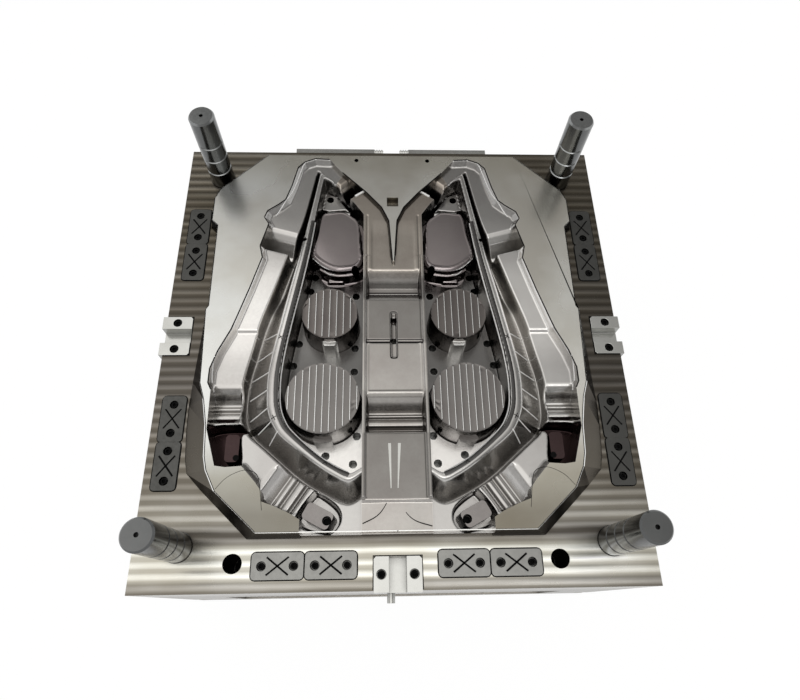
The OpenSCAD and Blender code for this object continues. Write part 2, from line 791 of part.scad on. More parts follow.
module ejector_guide_bushes() {
    color("peru") on_base() at_each(guide_rods) difference() {
        rod(ejector_z, retainer_top, guide_rod_r + guide_bush_t);
        rod(ejector_z - past, retainer_top + past, guide_rod_r + running_fit);
    }
}

module support_pillars() {
    color(steel) on_base() at_each(pillars) rod(clamp_t, clamp_t + rail_h, pillar_r);
}

module stop_button_set() {
    color(dark_steel) on_base() at_each(stop_buttons) rod(clamp_t, ejector_z, stop_button_r);
}

// ---- Screws and fittings ----

module rail_screw_set() {
    color(black_steel) on_base() at_each(rail_screws)
        screw_from_below(rail_screw_d, rail_screw_sink, rail_h + clamp_t - rail_screw_sink, rail_screw_hold);
}

module frame_screw_set() {
    color(black_steel) on_rim() at_each(frame_screws)
        screw_from_below(frame_screw_d, -core_t + frame_screw_sink, core_t - pocket_z - frame_screw_sink,
            frame_screw_hold);
}

// A hose nipple with its shank in the plate: it stands out along -z.
module hose_nipple() {
    difference() {
        union() {
            rod(-20, 0, port_r + 1.5);
            rod(-past, 24, port_r);
        }
        rod(-21, 39, 3.5);
    }
}

module front_nipple() {
    color(bright_steel) on_rim() translate([nipple_at[0], 0, nipple_at[1]]) rotate([-90, 0, 0]) hose_nipple();
}

module water_nipples() {
    color(brass) on_rim() for (x = water_port_x)
        translate([x, plate_d, -water_port_drop]) rotate([90, 0, 0]) hose_nipple();
}

// A straight bar along the rear edge with a ribbed hose coupling at its inner end.
module rear_manifold() {
    color(steel) on_rim() {
        translate([manifold_x, plate_d, -manifold_size[2]]) cube(manifold_size);
        translate([0, plate_d + 8, -8]) rotate([0, -90, 0]) {
            for (k = [0:3]) translate([0, 0, 22 + k * 6]) cylinder(3, r = 8);
            rod(20, 44, 6);
        }
    }
}

clamp_plate();
spacer_rail();  // spacer_rail_left
right_hand() spacer_rail();  // spacer_rail_right
core_plate();
support_plate();
core_insert();  // core_insert_left
right_hand() core_insert();  // core_insert_right
centre_insert();
ribbed_boss(small_boss_at, small_boss_r, small_lug);  // small_boss_left
right_hand() ribbed_boss(small_boss_at, small_boss_r, small_lug);  // small_boss_right
ribbed_boss(large_boss_at, large_boss_r, large_lug);  // large_boss_left
right_hand() ribbed_boss(large_boss_at, large_boss_r, large_lug);  // large_boss_right
pad_core();  // pad_core_left
right_hand() pad_core();  // pad_core_right
guide_pin(-guide_pin_x, guide_pin_front);  // guide_pin_front_left
guide_pin(guide_pin_x, guide_pin_front);  // guide_pin_front_right
guide_pin(-guide_pin_x, guide_pin_rear);  // guide_pin_rear_left
guide_pin(guide_pin_x, guide_pin_rear);  // guide_pin_rear_right
for (i = [0:11]) wear_plate(i);
wear_plate_screws();
interlock(lock_left);  // interlock_left
interlock(lock_right);  // interlock_right
interlock(lock_front);  // interlock_front
interlock_screws();
lifter(upper_lifter, 2, 0);  // lifter_upper_left
right_hand() lifter(upper_lifter, 2, 0);  // lifter_upper_right
lifter(lower_lifter, 12, 8.5);  // lifter_lower_left
right_hand() lifter(lower_lifter, 12, 8.5);  // lifter_lower_right
lifter_bushes();
lifter_gibs();
ejector_plate();
retainer_plate();
ejector_plate_screws();
ejector_pins();
sprue_puller();
ejector_guide_rods();
ejector_guide_bushes();
support_pillars();
stop_button_set();  // stop_buttons
frame_screw_set();  // frame_screws
rail_screw_set();  // rail_screws
front_nipple();
water_nipples();
rear_manifold();  // rear_manifold_left
right_hand() rear_manifold();  // rear_manifold_right
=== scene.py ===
import bmesh
import bpy
import math
import numpy as np
from mathutils import Matrix, Vector


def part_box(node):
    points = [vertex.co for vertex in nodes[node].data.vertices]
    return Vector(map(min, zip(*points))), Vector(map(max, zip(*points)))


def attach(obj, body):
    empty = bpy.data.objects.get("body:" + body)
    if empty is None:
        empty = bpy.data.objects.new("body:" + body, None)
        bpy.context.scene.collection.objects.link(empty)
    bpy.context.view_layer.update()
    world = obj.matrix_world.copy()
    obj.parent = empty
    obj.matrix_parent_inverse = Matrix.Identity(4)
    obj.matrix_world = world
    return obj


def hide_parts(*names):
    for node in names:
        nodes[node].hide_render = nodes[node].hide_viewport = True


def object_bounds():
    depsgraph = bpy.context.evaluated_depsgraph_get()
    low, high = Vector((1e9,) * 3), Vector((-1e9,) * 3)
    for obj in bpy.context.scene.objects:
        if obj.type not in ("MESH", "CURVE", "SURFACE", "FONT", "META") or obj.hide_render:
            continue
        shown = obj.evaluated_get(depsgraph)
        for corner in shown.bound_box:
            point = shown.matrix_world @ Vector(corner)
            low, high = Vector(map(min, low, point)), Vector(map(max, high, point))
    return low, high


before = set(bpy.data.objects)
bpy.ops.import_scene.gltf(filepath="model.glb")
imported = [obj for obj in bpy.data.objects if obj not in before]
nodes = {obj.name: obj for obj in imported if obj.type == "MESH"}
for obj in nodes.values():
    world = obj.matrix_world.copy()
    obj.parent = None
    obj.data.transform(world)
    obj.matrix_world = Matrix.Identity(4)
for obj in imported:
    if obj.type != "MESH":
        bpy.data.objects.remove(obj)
cad_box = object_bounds()

# Shapes below are written in millimetres from the centre line, the front edge and the rim.
LAND_H = 30
core_low, core_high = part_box("core_plate")
rim_z = core_high.z - LAND_H / 1000
front_y = core_low.y
plate_d = (core_high.y - core_low.y) * 1000


def place(x, y, z, side=1):
    """Metres in the frame, from millimetres on the rim; side -1 is the right-hand copy."""
    return (side * x / 1000, front_y + y / 1000, rim_z + z / 1000)


# ---- Outlines, as in the part's own source ----

WING_EDGE = [(-147, 953), (-181, 955), (-205, 945), (-220, 929), (-232, 875), (-244, 836), (-259, 822),
    (-283, 804), (-289, 786), (-278, 768), (-293, 710), (-286, 680), (-307, 603), (-329, 530), (-337, 505),
    (-359, 457), (-371, 418), (-371, 388), (-364, 374), (-363, 293), (-341, 222), (-321, 219), (-291, 221),
    (-262, 189), (-251, 174), (-249, 155), (-227, 147), (-196, 133), (-178, 122), (-178, 96)]
LAND_TOP = [(-292, 964), (-394, 864), (-405, 838), (-405, 778), (-391, 764), (-389, 560), (-394, 552), (-387, 388),
    (-376, 354), (-366, 300), (-362, 240), (-356, 214), (-336, 174), (-256, 100), (0, 100)]
TONGUE = [(-2, 671), (-9, 778), (-25, 815), (-59, 856), (-116, 914)]
SEAM = [(-132, 883), (-87, 832), (-66, 801), (-66, 96)]
# Stations along the ridge: outer foot, outer crest, inner crest, inner foot.
RIDGE = [
    ((-176, 930), (-169, 924), (-160, 902), (-159, 890)), ((-203, 785), (-192, 781), (-177, 781), (-176, 781)),
    ((-232, 698), (-206, 698), (-187, 698), (-186, 698)), ((-257, 610), (-222, 614), (-200, 616), (-199, 616)),
    ((-280, 532), (-238, 524), (-216, 526), (-215, 526)), ((-294, 463), (-249, 461), (-226, 462), (-225, 462)),
    ((-304, 414), (-255, 412), (-231, 412), (-230, 412)), ((-308, 370), (-255, 371), (-231, 371), (-230, 371)),
    ((-305, 320), (-251, 335), (-228, 340), (-227, 341)), ((-288, 286), (-239, 303), (-219, 313), (-218, 315)),
    ((-257, 258), (-219, 277), (-203, 288), (-201, 290)), ((-198, 207), (-158, 228), (-151, 240), (-149, 243)),
    ((-158, 180), (-120, 203), (-115, 217), (-113, 221)), ((-96, 151), (-90, 191), (-91, 206), (-92, 210)),
    ((-66, 162), (-66, 204), (-66, 218), (-66, 223))]
# Slots across the panel, each from its foot to its top.
RIB_LINES = [((-276, 505), (-240, 497)), ((-290, 455), (-249, 457)), ((-296, 409), (-254, 412)),
    ((-297, 366), (-255, 374)), ((-292, 322), (-251, 337)), ((-274, 294), (-242, 310)), ((-250, 271), (-228, 290))]
FLOOR_PINS = [(-178, 675), (-187, 639), (-84, 660), (-84, 626), (-207, 507), (-85, 496), (-217, 455), (-86, 441),
    (-79, 298), (-142, 257), (-86, 240)]
APEX_PIN = (-147, 873)
SMALL_BOSS, SMALL_R = (-136, 545), 58
LARGE_BOSS, LARGE_R = (-145, 357), 73
PAD_TOP = [(-160, 803), (-142, 809), (-114, 812), (-95, 801), (-79, 782), (-75, 736), (-74, 690), (-82, 672),
    (-98, 666), (-126, 664), (-150, 674), (-172, 694), (-176, 712), (-168, 751)]
PAD_FOOT = [(-163, 812), (-142, 817), (-112, 817), (-90, 808), (-68, 788), (-67, 664), (-76, 650), (-108, 637),
    (-142, 637), (-160, 653), (-165, 678), (-186, 701), (-174, 764)]
# Levels over the rim.
WING_Z, RIDGE_Z, SPINE_Z, FLOOR_Z, BOSS_Z, POCKET_Z = 16, 25, 22, -50, 25, -110
# Round holes, which leave the ejector pins and the sprue puller free.
PIN_HOLE = 8.4
SPRUE_HOLE = (-2, 482, 6.6)
RIDGE_HOLE = (-196, 730, 4.2)
# Widths of the bands on the round cores, and how far their feet flare without reaching a pin.
SMALL_PITCH, LARGE_PITCH = 14.5, 13.6
SMALL_FOOT, LARGE_FOOT = 4.1, 6.9
# Cell sizes of the height fields.
PITCH, PAD_PITCH = 1.6, 1.4


# ---- Plane geometry on arrays ----

def curve(points, steps=6, closed=False):
    """A smooth line through the points."""
    p = np.array(points, float)
    n = len(p)
    out = []
    for i in range(n if closed else n - 1):
        if closed:
            a, b, c, d = p[(i - 1) % n], p[i], p[(i + 1) % n], p[(i + 2) % n]
        else:
            a, b, c, d = p[max(i - 1, 0)], p[i], p[i + 1], p[min(i + 2, n - 1)]
        for t in np.arange(steps) / steps:
            out.append(0.5 * (2 * b + (c - a) * t + (2 * a - 5 * b + 4 * c - d) * t * t
                + (3 * b - a - 3 * c + d) * t ** 3))
    if not closed:
        out.append(p[-1])
    return np.array(out)


def line_distance(x, y, points, closed=False):
    """Distance from each (x, y) to a line, and the nearest point on it."""
    p = np.array(points, float)
    q = np.roll(p, -1, axis=0) if closed else p[1:]
    best = np.full(x.shape, 1e9)
    near_x, near_y = x.copy(), y.copy()
    for a, b in zip(p, q):
        d = b - a
        size = max(float(d @ d), 1e-9)
        t = np.clip(((x - a[0]) * d[0] + (y - a[1]) * d[1]) / size, 0, 1)
        px, py = a[0] + t * d[0], a[1] + t * d[1]
        gap = np.hypot(x - px, y - py)
        closer = gap < best
        best = np.where(closer, gap, best)
        near_x = np.where(closer, px, near_x)
        near_y = np.where(closer, py, near_y)
    return best, near_x, near_y


def inside(x, y, points):
    """Whether each (x, y) lies in a closed outline."""
    p = np.array(points, float)
    hit = np.zeros(x.shape, bool)
    for a, b in zip(p, np.roll(p, -1, axis=0)):
        crosses = (a[1] > y) != (b[1] > y)
        rise = b[1] - a[1]
        at = a[0] + (y - a[1]) / (rise if rise else 1e-9) * (b[0] - a[0])
        hit ^= crosses & (x < at)
    return hit


def depth_in(x, y, points):
    """Signed distance to a closed outline, positive inside."""
    gap = line_distance(x, y, points, closed=True)[0]
    return np.where(inside(x, y, points), gap, -gap)


def ease(t):
    """A smooth step from 0 to 1."""
    t = np.clip(t, 0, 1)
    return t * t * (3 - 2 * t)


def blend(z, level, share):
    """z where share is 0, the level where it is 1."""
    return z + (level - z) * share


def sink(z, gap, level, wall=3.0):
    """Takes z to a level over a wall that starts where gap is 0."""
    return blend(z, level, ease(gap / wall))


def profile(s, stops):
    """Height along s through (s, z) stops."""
    at, z = zip(*stops)
    return np.interp(s, at, z)


def bump_line(z, x, y, points, width, height):
    """Adds a raised line along the points."""
    gap = line_distance(x, y, points)[0]
    return z + height * ease(1.4 - gap / (width / 2))


def soften(z, shape):
    """Rounds every corner of a height grid by about one cell."""
    g = z.reshape(shape)
    e = np.pad(g, 1, mode="edge")
    return ((4 * g + e[:-2, 1:-1] + e[2:, 1:-1] + e[1:-1, :-2] + e[1:-1, 2:]) / 8).reshape(-1)


# ---- Building pieces ----

BASE = "mould_base"


def new_object(name, mesh, material, body, replaced):
    """A visible piece that rides on a body and stands for the CAD nodes it replaces."""
    piece = bpy.data.objects.new(name, mesh)
    bpy.context.scene.collection.objects.link(piece)
    piece.data.materials.append(material)
    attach(piece, body)
    if replaced:
        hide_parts(*replaced)
    return piece


def finish_mesh(bm, name, sharp=35):
    """A smooth mesh with edges over sharp degrees kept."""
    mesh = bpy.data.meshes.new(name)
    bmesh.ops.recalc_face_normals(bm, faces=bm.faces[:])
    for face in bm.faces:
        face.smooth = True
    for edge in bm.edges:
        if len(edge.link_faces) == 2 and edge.calc_face_angle(0) > math.radians(sharp):
            edge.smooth = False
    bm.to_mesh(mesh)
    bm.free()
    return mesh


def beads(name, paths, width, height, material, sides=(1, -1), down=0.8):
    """Thin closed strips along lines of (x, y, z), height above them."""
    bm = bmesh.new()
    for side in sides:
        for path in paths:
            p = np.array(path, float)
            step = np.gradient(p[:, :2], axis=0)
            step /= np.maximum(np.hypot(step[:, 0], step[:, 1]), 1e-6)[:, None]
            spread = np.linspace(*width, len(p)) if isinstance(width, tuple) else np.full(len(p), width)
            across = np.stack([-step[:, 1], step[:, 0]], axis=1) * spread[:, None] / 2
            rings = [[bm.verts.new(place(x + k * ax, y + k * ay, z + h, side))
                for k, h in ((-1, -down), (-0.7, height), (0.7, height), (1, -down))]
                for (x, y, z), (ax, ay) in zip(p, across)]
            for a, b in zip(rings, rings[1:]):
                for k in range(4):
                    bm.faces.new((a[k], a[(k + 1) % 4], b[(k + 1) % 4], b[k]))
            bm.faces.new(rings[0])
            bm.faces.new(rings[-1][::-1])
    return new_object(name, finish_mesh(bm, name), material, BASE, [])


def dots(name, spots, material, body, sides):
    """Thin round discs (x, y, z, radius) over the mouths of small holes, painting their shade."""
    bm = bmesh.new()
    count = 24
    turns = np.arange(count) * 2 * math.pi / count
    for side in sides:
        for x, y, z, r in spots:
            low, high = [[bm.verts.new(place(x + r * math.cos(a), y + r * math.sin(a), z + h, side)) for a in turns]
                for h in (-0.6, 0.35)]
            bm.faces.new(low)
            bm.faces.new(high[::-1])
            for k in range(count):
                bm.faces.new((low[k], high[k], high[(k + 1) % count], low[(k + 1) % count]))
    return new_object(name, finish_mesh(bm, name), material, body, [])


def at_level(points, z):
    """Points (x, y) at one height."""
    return [(x, y, z) for x, y in points]


def rounded_box(x, y, half_x, half_y, r, z):
    """The outline of a rounded rectangle, closed."""
    out = []
    for cx, cy, first in ((1, 1, 0), (-1, 1, 90), (-1, -1, 180), (1, -1, 270)):
        for turn in range(first, first + 91, 30):
            out.append((x + cx * (half_x - r) + r * math.cos(math.radians(turn)),
                y + cy * (half_y - r) + r * math.sin(math.radians(turn)), z))
    return out + out[:1]


def field_mesh(name, outline, height, bottom, pitch, circles, side=1):
    """A closed solid under a height field: its outline is followed, and its round holes go through."""
    o = np.array(outline, float)
    x0, y0 = o.min(axis=0) - pitch
    nx, ny = (np.ceil((o.max(axis=0) - (x0, y0)) / pitch)).astype(int) + 2
    gx, gy = np.meshgrid(x0 + np.arange(nx) * pitch, y0 + np.arange(ny) * pitch, indexing="ij")
    gx, gy = gx.reshape(-1), gy.reshape(-1)
    mid = inside(gx + pitch / 2, gy + pitch / 2, o).reshape(nx, ny)
    mid[-1, :] = mid[:, -1] = False
    ci, cj = np.nonzero(mid)
    v00 = ci * ny + cj
    cells = np.stack([v00, v00 + ny, v00 + ny + 1, v00 + 1], axis=1)
    used = np.zeros(nx * ny, int)
    np.add.at(used, cells.reshape(-1), 1)
    rim = (used > 0) & (used < 4)
    gap, px, py = line_distance(gx[rim], gy[rim], o, closed=True)
    near = gap < 1.2 * pitch
    gx[rim] = np.where(near, px, gx[rim])
    gy[rim] = np.where(near, py, gy[rim])
    for cx, cy, r in circles:
        gap = np.hypot(gx - cx, gy - cy)
        scale = np.where(abs(gap - r) < 0.5 * pitch, r / np.maximum(gap, 1e-6), 1)
        gx, gy = cx + (gx - cx) * scale, cy + (gy - cy) * scale
        cells = cells[np.hypot(gx[cells].mean(axis=1) - cx, gy[cells].mean(axis=1) - cy) > r]
        # Corners of the cells left that are still in the hole go out to its edge.
        left = np.unique(cells)
        gap = np.hypot(gx[left] - cx, gy[left] - cy)
        left, gap = left[gap < r], gap[gap < r]
        gx[left], gy[left] = cx + (gx[left] - cx) * r / gap, cy + (gy[left] - cy) * r / gap
    gz = soften(height(gx, gy), (nx, ny))
    keep = np.unique(cells)
    number = np.full(nx * ny, -1)
    number[keep] = np.arange(len(keep))
    bm = bmesh.new()
    verts = [bm.verts.new(place(gx[k], gy[k], gz[k], side)) for k in keep]
    for cell in number[cells]:
        bm.faces.new([verts[i] for i in (cell if side > 0 else cell[::-1])])
    bmesh.ops.dissolve_degenerate(bm, dist=0.00001, edges=bm.edges[:])
    open_edges = [e for e in bm.edges if e.is_boundary]
    made = bmesh.ops.extrude_edge_only(bm, edges=open_edges)["geom"]
    for v in made:
        if isinstance(v, bmesh.types.BMVert):
            v.co.z = rim_z + bottom / 1000
    bmesh.ops.triangle_fill(bm, edges=[e for e in bm.edges if e.is_boundary], use_beauty=False)
    for edge in open_edges:
        edge.smooth = False
    mesh = bpy.data.meshes.new(name)
    bm.normal_update()
    for face in bm.faces:
        face.smooth = len(face.verts) <= 4 and abs(face.normal.z) > 0.02
    bm.to_mesh(mesh)
    bm.free()
    return mesh


# ---- Heights of the left insert ----

# Foot of the groove's wall, drop of the rolled crest and width of the inner wall.
WALL_FOOT, ROLL, INNER_WALL = 5.0, 3.4, 4
ARM_CLOSE = [(-66, 808), (-87, 838), (-132, 889)]
APEX_FLOOR, APEX_Z = [(-166, 900), (-176, 846), (-150, 838), (-112, 842), (-92, 828), (-128, 884)], -20
# Slopes and bars of the pockets, as (distance, height).
TROUGH = [(-24, 40), (-22, -22), (-16, -27), (-8, -25), (2, -14), (14, 2), (26, 12), (33, 15.5), (36, 40)]
ROLLER = [(308, 40), (309, 9), (312, 8), (314, -16), (318, -17), (321, -11), (325, -8), (331, -8), (335, -11),
    (337, -18), (340, -18), (342, -12), (345, -10), (349, -12), (351, -20), (356, -19), (364, -12), (374, 0), (384, 8),
    (390, 10.2), (392, 40)]
BANDS = [(-58, 11), (-46, 8), (-34, -2), (-26, -10), (-20, -16), (-17, -16), (-15, -9), (-10, -7), (-5, -9),
    (-3, -17), (0, -17), (2, -10), (9, -8), (15, -10), (17, -17), (20, -17), (21, 4), (23, 4), (24, -6), (27, -6),
    (28, 8), (34, 9)]
BAND_PATCH = [(-262, 196), (-250, 157), (-227, 146), (-196, 133), (-176, 140), (-158, 176), (-186, 203), (-222, 228)]
LIFTER_RECESSES = (
    [(-370, 297), (-326, 308), (-289, 304), (-287, 290), (-300, 282), (-296, 228), (-321, 222), (-346, 224),
        (-360, 250)],
    [(-188, 130), (-178, 110), (-140, 99), (-120, 99), (-104, 120), (-110, 147), (-146, 175), (-160, 172)])


def ridge_outline(k):
    """The ridge line k closed along the spine: 0 outer foot, 1 outer crest, 2 inner crest."""
    line = curve([station[k] for station in RIDGE])
    return np.concatenate([line, [(-40, line[-1][1])], [(-40, 801)], ARM_CLOSE])


outer_foot, outer_crest, inner_crest = [ridge_outline(k) for k in range(3)]


def wing_height(x, y):
    """The wing with its shoulder, its pockets and the two lifter recesses."""
    flat = WING_Z - 6 * ease((512 - y) / 9)
    edge = line_distance(x, y, WING_EDGE)[0]
    shoulder_w = 9 + 3 * ease((y - 770) / 30)
    shoulder = LAND_H - 0.6 - (LAND_H - flat) * edge / shoulder_w
    z = np.where(y > 165, np.maximum(flat, shoulder), flat)
    # Trough behind the step, with its deep side to the front.
    turn = math.radians(-16)
    across = (x + 254) * math.cos(turn) + (y - 727) * math.sin(turn)
    along = -(x + 254) * math.sin(turn) + (y - 727) * math.cos(turn)
    trough = profile(along, TROUGH)
    z = np.where(abs(across) < 60, np.minimum(z, trough), z)
    # Roller pocket: a slope, two bars and a lip.
    roller = profile(y, ROLLER)
    box = np.minimum(np.minimum(x + 368, -307 - x), 12)
    z = blend(z, np.minimum(z, roller), ease(box / 2.2))
    # Banded pocket before the lower lifter.
    along = (x + 206) * 0.83 - (y - 170) * 0.55
    bands = profile(along, BANDS)
    patch = depth_in(x, y, curve(BAND_PATCH, 4, True))
    z = blend(z, np.minimum(z, bands), ease(patch / 4))
    for recess in LIFTER_RECESSES:
        z = sink(z, depth_in(x, y, curve(recess, 4, True)), -34, 4)
    return z


def groove_height(x, y, z, wide):
    """From the wing's inner edge down to the groove and up the panel to the crest."""
    floor = -30 - 14 * ease((y - 560) / 60)
    z = sink(z, wide, floor, 4.5)
    crest_gap = -depth_in(x, y, outer_crest)
    share = (wide - WALL_FOOT) / np.maximum(wide - WALL_FOOT + crest_gap, 1e-3)
    panel = floor + (RIDGE_Z - ROLL - floor) * share
    return np.where((wide > WALL_FOOT) & (crest_gap > 0), np.maximum(z, panel), z)


def insert_height(x, y):
    """The whole left insert: wing, groove, ridge, inner wall and floor."""
    z = wing_height(x, y)
    wide = depth_in(x, y, outer_foot)
    z = np.where(wide > 0, groove_height(x, y, z, wide), z)
    crest = depth_in(x, y, outer_crest)
    inner = depth_in(x, y, inner_crest)
    # The crest is a broad roll with a small lip over the inner wall.
    share = crest / np.maximum(crest - inner, 1e-3)
    roll = RIDGE_Z - ROLL * np.clip(1 - share / 0.5, 0, 1) ** 1.6 - 0.5 * ease((share - 0.5) / 0.1)
    z = np.where(crest > 0, roll, z)
    z = np.where(inner > 0, blend(RIDGE_Z, FLOOR_Z, ease(inner / INNER_WALL)), z)
    # Apex: a raised floor, and a round bar across its front.
    apex = depth_in(x, y, APEX_FLOOR)
    z = np.where(inner > 3, np.maximum(z, blend(FLOOR_Z, APEX_Z, ease((apex + 1) / 3))), z)
    bar = (abs(y - 825) < 11) & (x > -154) & (x < -96)
    return np.where(bar, np.maximum(z, -7 - 9 * ((y - 825) / 11) ** 2), z)


def laid(points):
    """Points (x, y) with the height of the left insert under them."""
    p = np.array(points, float)
    z = insert_height(p[:, 0], p[:, 1])
    return [tuple(row) for row in np.column_stack([p, z])]


INSERT_OUTLINE = [TONGUE[4]] + WING_EDGE + [SEAM[3], SEAM[2], SEAM[1], SEAM[0]]
insert_holes = [(px, py, PIN_HOLE) for px, py in FLOOR_PINS + [APEX_PIN]] + [RIDGE_HOLE]


# ---- Heights of the centre insert ----

# Cross pockets, each a slope and two bars, as (y, height).
REAR_POCKET = [(578, 24), (581, 22), (583, -6), (585, -8), (587, -1), (592, 3), (598, -1), (600, -9), (602, -9),
    (603, -4), (606, -2), (609, -4), (610, -10), (614, -12), (622, -10), (630, -3), (640, 8), (648, 16), (654, 21),
    (656, 22)]
FRONT_POCKET = [(284, 22), (287, 20), (289, -4), (294, -9), (299, -12), (302, -3), (306, 0), (312, 1), (318, -3),
    (320, -10), (322, -10), (323, -4), (326, -2), (328, -4), (330, -12), (335, -10), (343, -2), (352, 8), (360, 16),
    (368, 21), (372, 22)]
# Pocket across each arm: a slope, a dark floor and a bright lip.
ARM_POCKET = [(-26, 40), (-25, 22), (-18, 17), (-8, 6), (0, -6), (6, -14), (16, -16), (19, -14), (20.5, 24),
    (25, 24.5), (26.5, 22), (27, 40)]


def spine_height(x, y):
    """The centre insert: spine, cross pockets, runner slots and the two arms."""
    ax = abs(x)
    z = np.full(x.shape, float(SPINE_Z))
    # Upper flat between the arms: a shallow dish with a V gutter.
    upper = ease((y - 651) / 3)
    gutter = np.interp(y, [680, 778, 860], [0.8, 7, 22])
    z = blend(z, SPINE_Z - 1.2, upper * ease((52 - ax) / 8) * ease((800 - y) / 60))
    z = np.where(y > 679, z - 2.6 * ease((gutter - abs(x + 3)) / np.maximum(gutter, 1.5)), z)
    z = bump_line(z, x, y, [(0, 681), (-3, 778)], 2.6, 1.6)
    z = z + 2.0 * ease(1.6 - np.hypot(x, y - 680) / 1.6)
    for stops in (REAR_POCKET, FRONT_POCKET):
        low, high = stops[0][0], stops[-1][0]
        pocket = blend(z, np.minimum(z, profile(y, stops)), ease((58 - ax) / 2.5))
        z = np.where((y > low) & (y < high), pocket, z)
    # Flat square with its cross runner and a step to the front half.
    step = 1.2 * ease((483 - y) / 3) * ease((56 - ax - np.maximum(y - 474, 0)) / 3)
    z = np.where((y < 483) & (y > 372), z - step, z)
    z = sink(z, np.minimum(np.minimum(x + 7.5, 4.5 - x), np.minimum(y - 444, 549 - y)), SPINE_Z - 5, 1.6)
    z = sink(z, np.minimum(59 - ax, np.minimum(y - 478, 485 - y)), SPINE_Z - 3, 1.6)
    z = sink(z, np.minimum(np.minimum(x + 6.5, 3.5 - x), np.minimum(y - 522, 536 - y)), SPINE_Z - 22, 1.6)
    # Front end, a little lower.
    z = np.where(y < 157, blend(z, SPINE_Z - 4 - 1.5 * ease((ax - 8) / 50), ease((157 - y) / 5)), z)
    # Rails along the sides.
    rail = ease((ax - 58.5) / 1.6) * ease((y - 158) / 4) * ease((803 - y) / 6)
    z = z + (26.5 - np.maximum(z, SPINE_Z)) * rail * (ax < 67)
    z = np.where((ax > 56.2) & (ax < 58.8) & (y > 160) & (y < 800), z - 1.2, z)
    along = (ax - 98) * -0.66 - (y - 871) * 0.75
    pocket = profile(along, ARM_POCKET)
    pocket = np.where(along > 19.5, np.where(along < 27, pocket, z), np.minimum(z, pocket))
    z = np.where((y > 812) & (ax > 60), pocket, z)
    edge = line_distance(ax, y, [(2, 671), (9, 778), (25, 815), (59, 856), (116, 914)])[0]
    z = np.where(y > 690, np.minimum(z, SPINE_Z - 0.2 - 1.6 * ease((4 - edge) / 3)), z)
    # Rolled edge of the arm over the impression.
    lip = line_distance(ax, y, [(66, 780), (66, 801), (87, 832), (132, 883)])[0]
    roll = 8 + 14 * np.sqrt(np.clip(1 - (1 - lip / 12) ** 2, 0, 1)) + 40 * (lip > 12)
    return np.where((y > 790) & (along < 19), np.minimum(z, roll), z)


def mirrored(points):
    """The points on the other side of the centre line, in the reverse order."""
    return [(-x, y) for x, y in reversed(points)]


SPINE_OUTLINE = TONGUE + SEAM + mirrored(TONGUE + SEAM)


# ---- Pads and bosses ----

pad_curve = curve(PAD_TOP, 5, True)
# Outwards from the edge of the top: a chamfer, two ledges and the step, as (distance, height).
PAD_STEPS = [(0, 15), (1.2, 14.4), (8, 9.4), (9.4, 1), (10.4, 0), (14, -0.6), (15, -3), (19, -22), (21, -24)]
PAD_STEP_Z, PAD_SEAT_Z = -24, -15


def pad_height(x, y):
    """An arched top, a chamfer round its front, two ledges and a dark step with a small seat in it."""
    out = -depth_in(x, y, pad_curve)
    crown = 15 - ((x + 128) / 56) ** 2 * 3 - ((y - 740) / 70) ** 2 * 1.2
    steps = profile(out, PAD_STEPS)
    seat = np.minimum(np.minimum(x + 146, -110 - x), np.minimum(y - 641, 658 - y))
    up = ease(seat / 1.5)
    steps = np.where(seat > 0, np.maximum(steps, PAD_SEAT_Z * up + PAD_STEP_Z * (1 - up)), steps)
    front = ease((735 - y) / 40)
    around = blend(np.where(out > 2, float(PAD_STEP_Z), 13.0), steps + 0.12 * (crown - 15), front)
    return np.where(out > 0, around, crown + 0.8 * ease(1 - abs(out + 2.2) / 1.6))


def boss_top(x, pitch):
    """Bands, each a little tilted, with a thin raised line between each two."""
    phase = x / pitch
    gap = abs(phase - np.round(phase)) * pitch
    band = np.floor(phase)
    tilt = 0.30 * np.sin(band * 2.4 + 0.7) * (phase - band - 0.5)
    return float(BOSS_Z - 1.0 + tilt + 0.8 * ease(1.5 - gap))


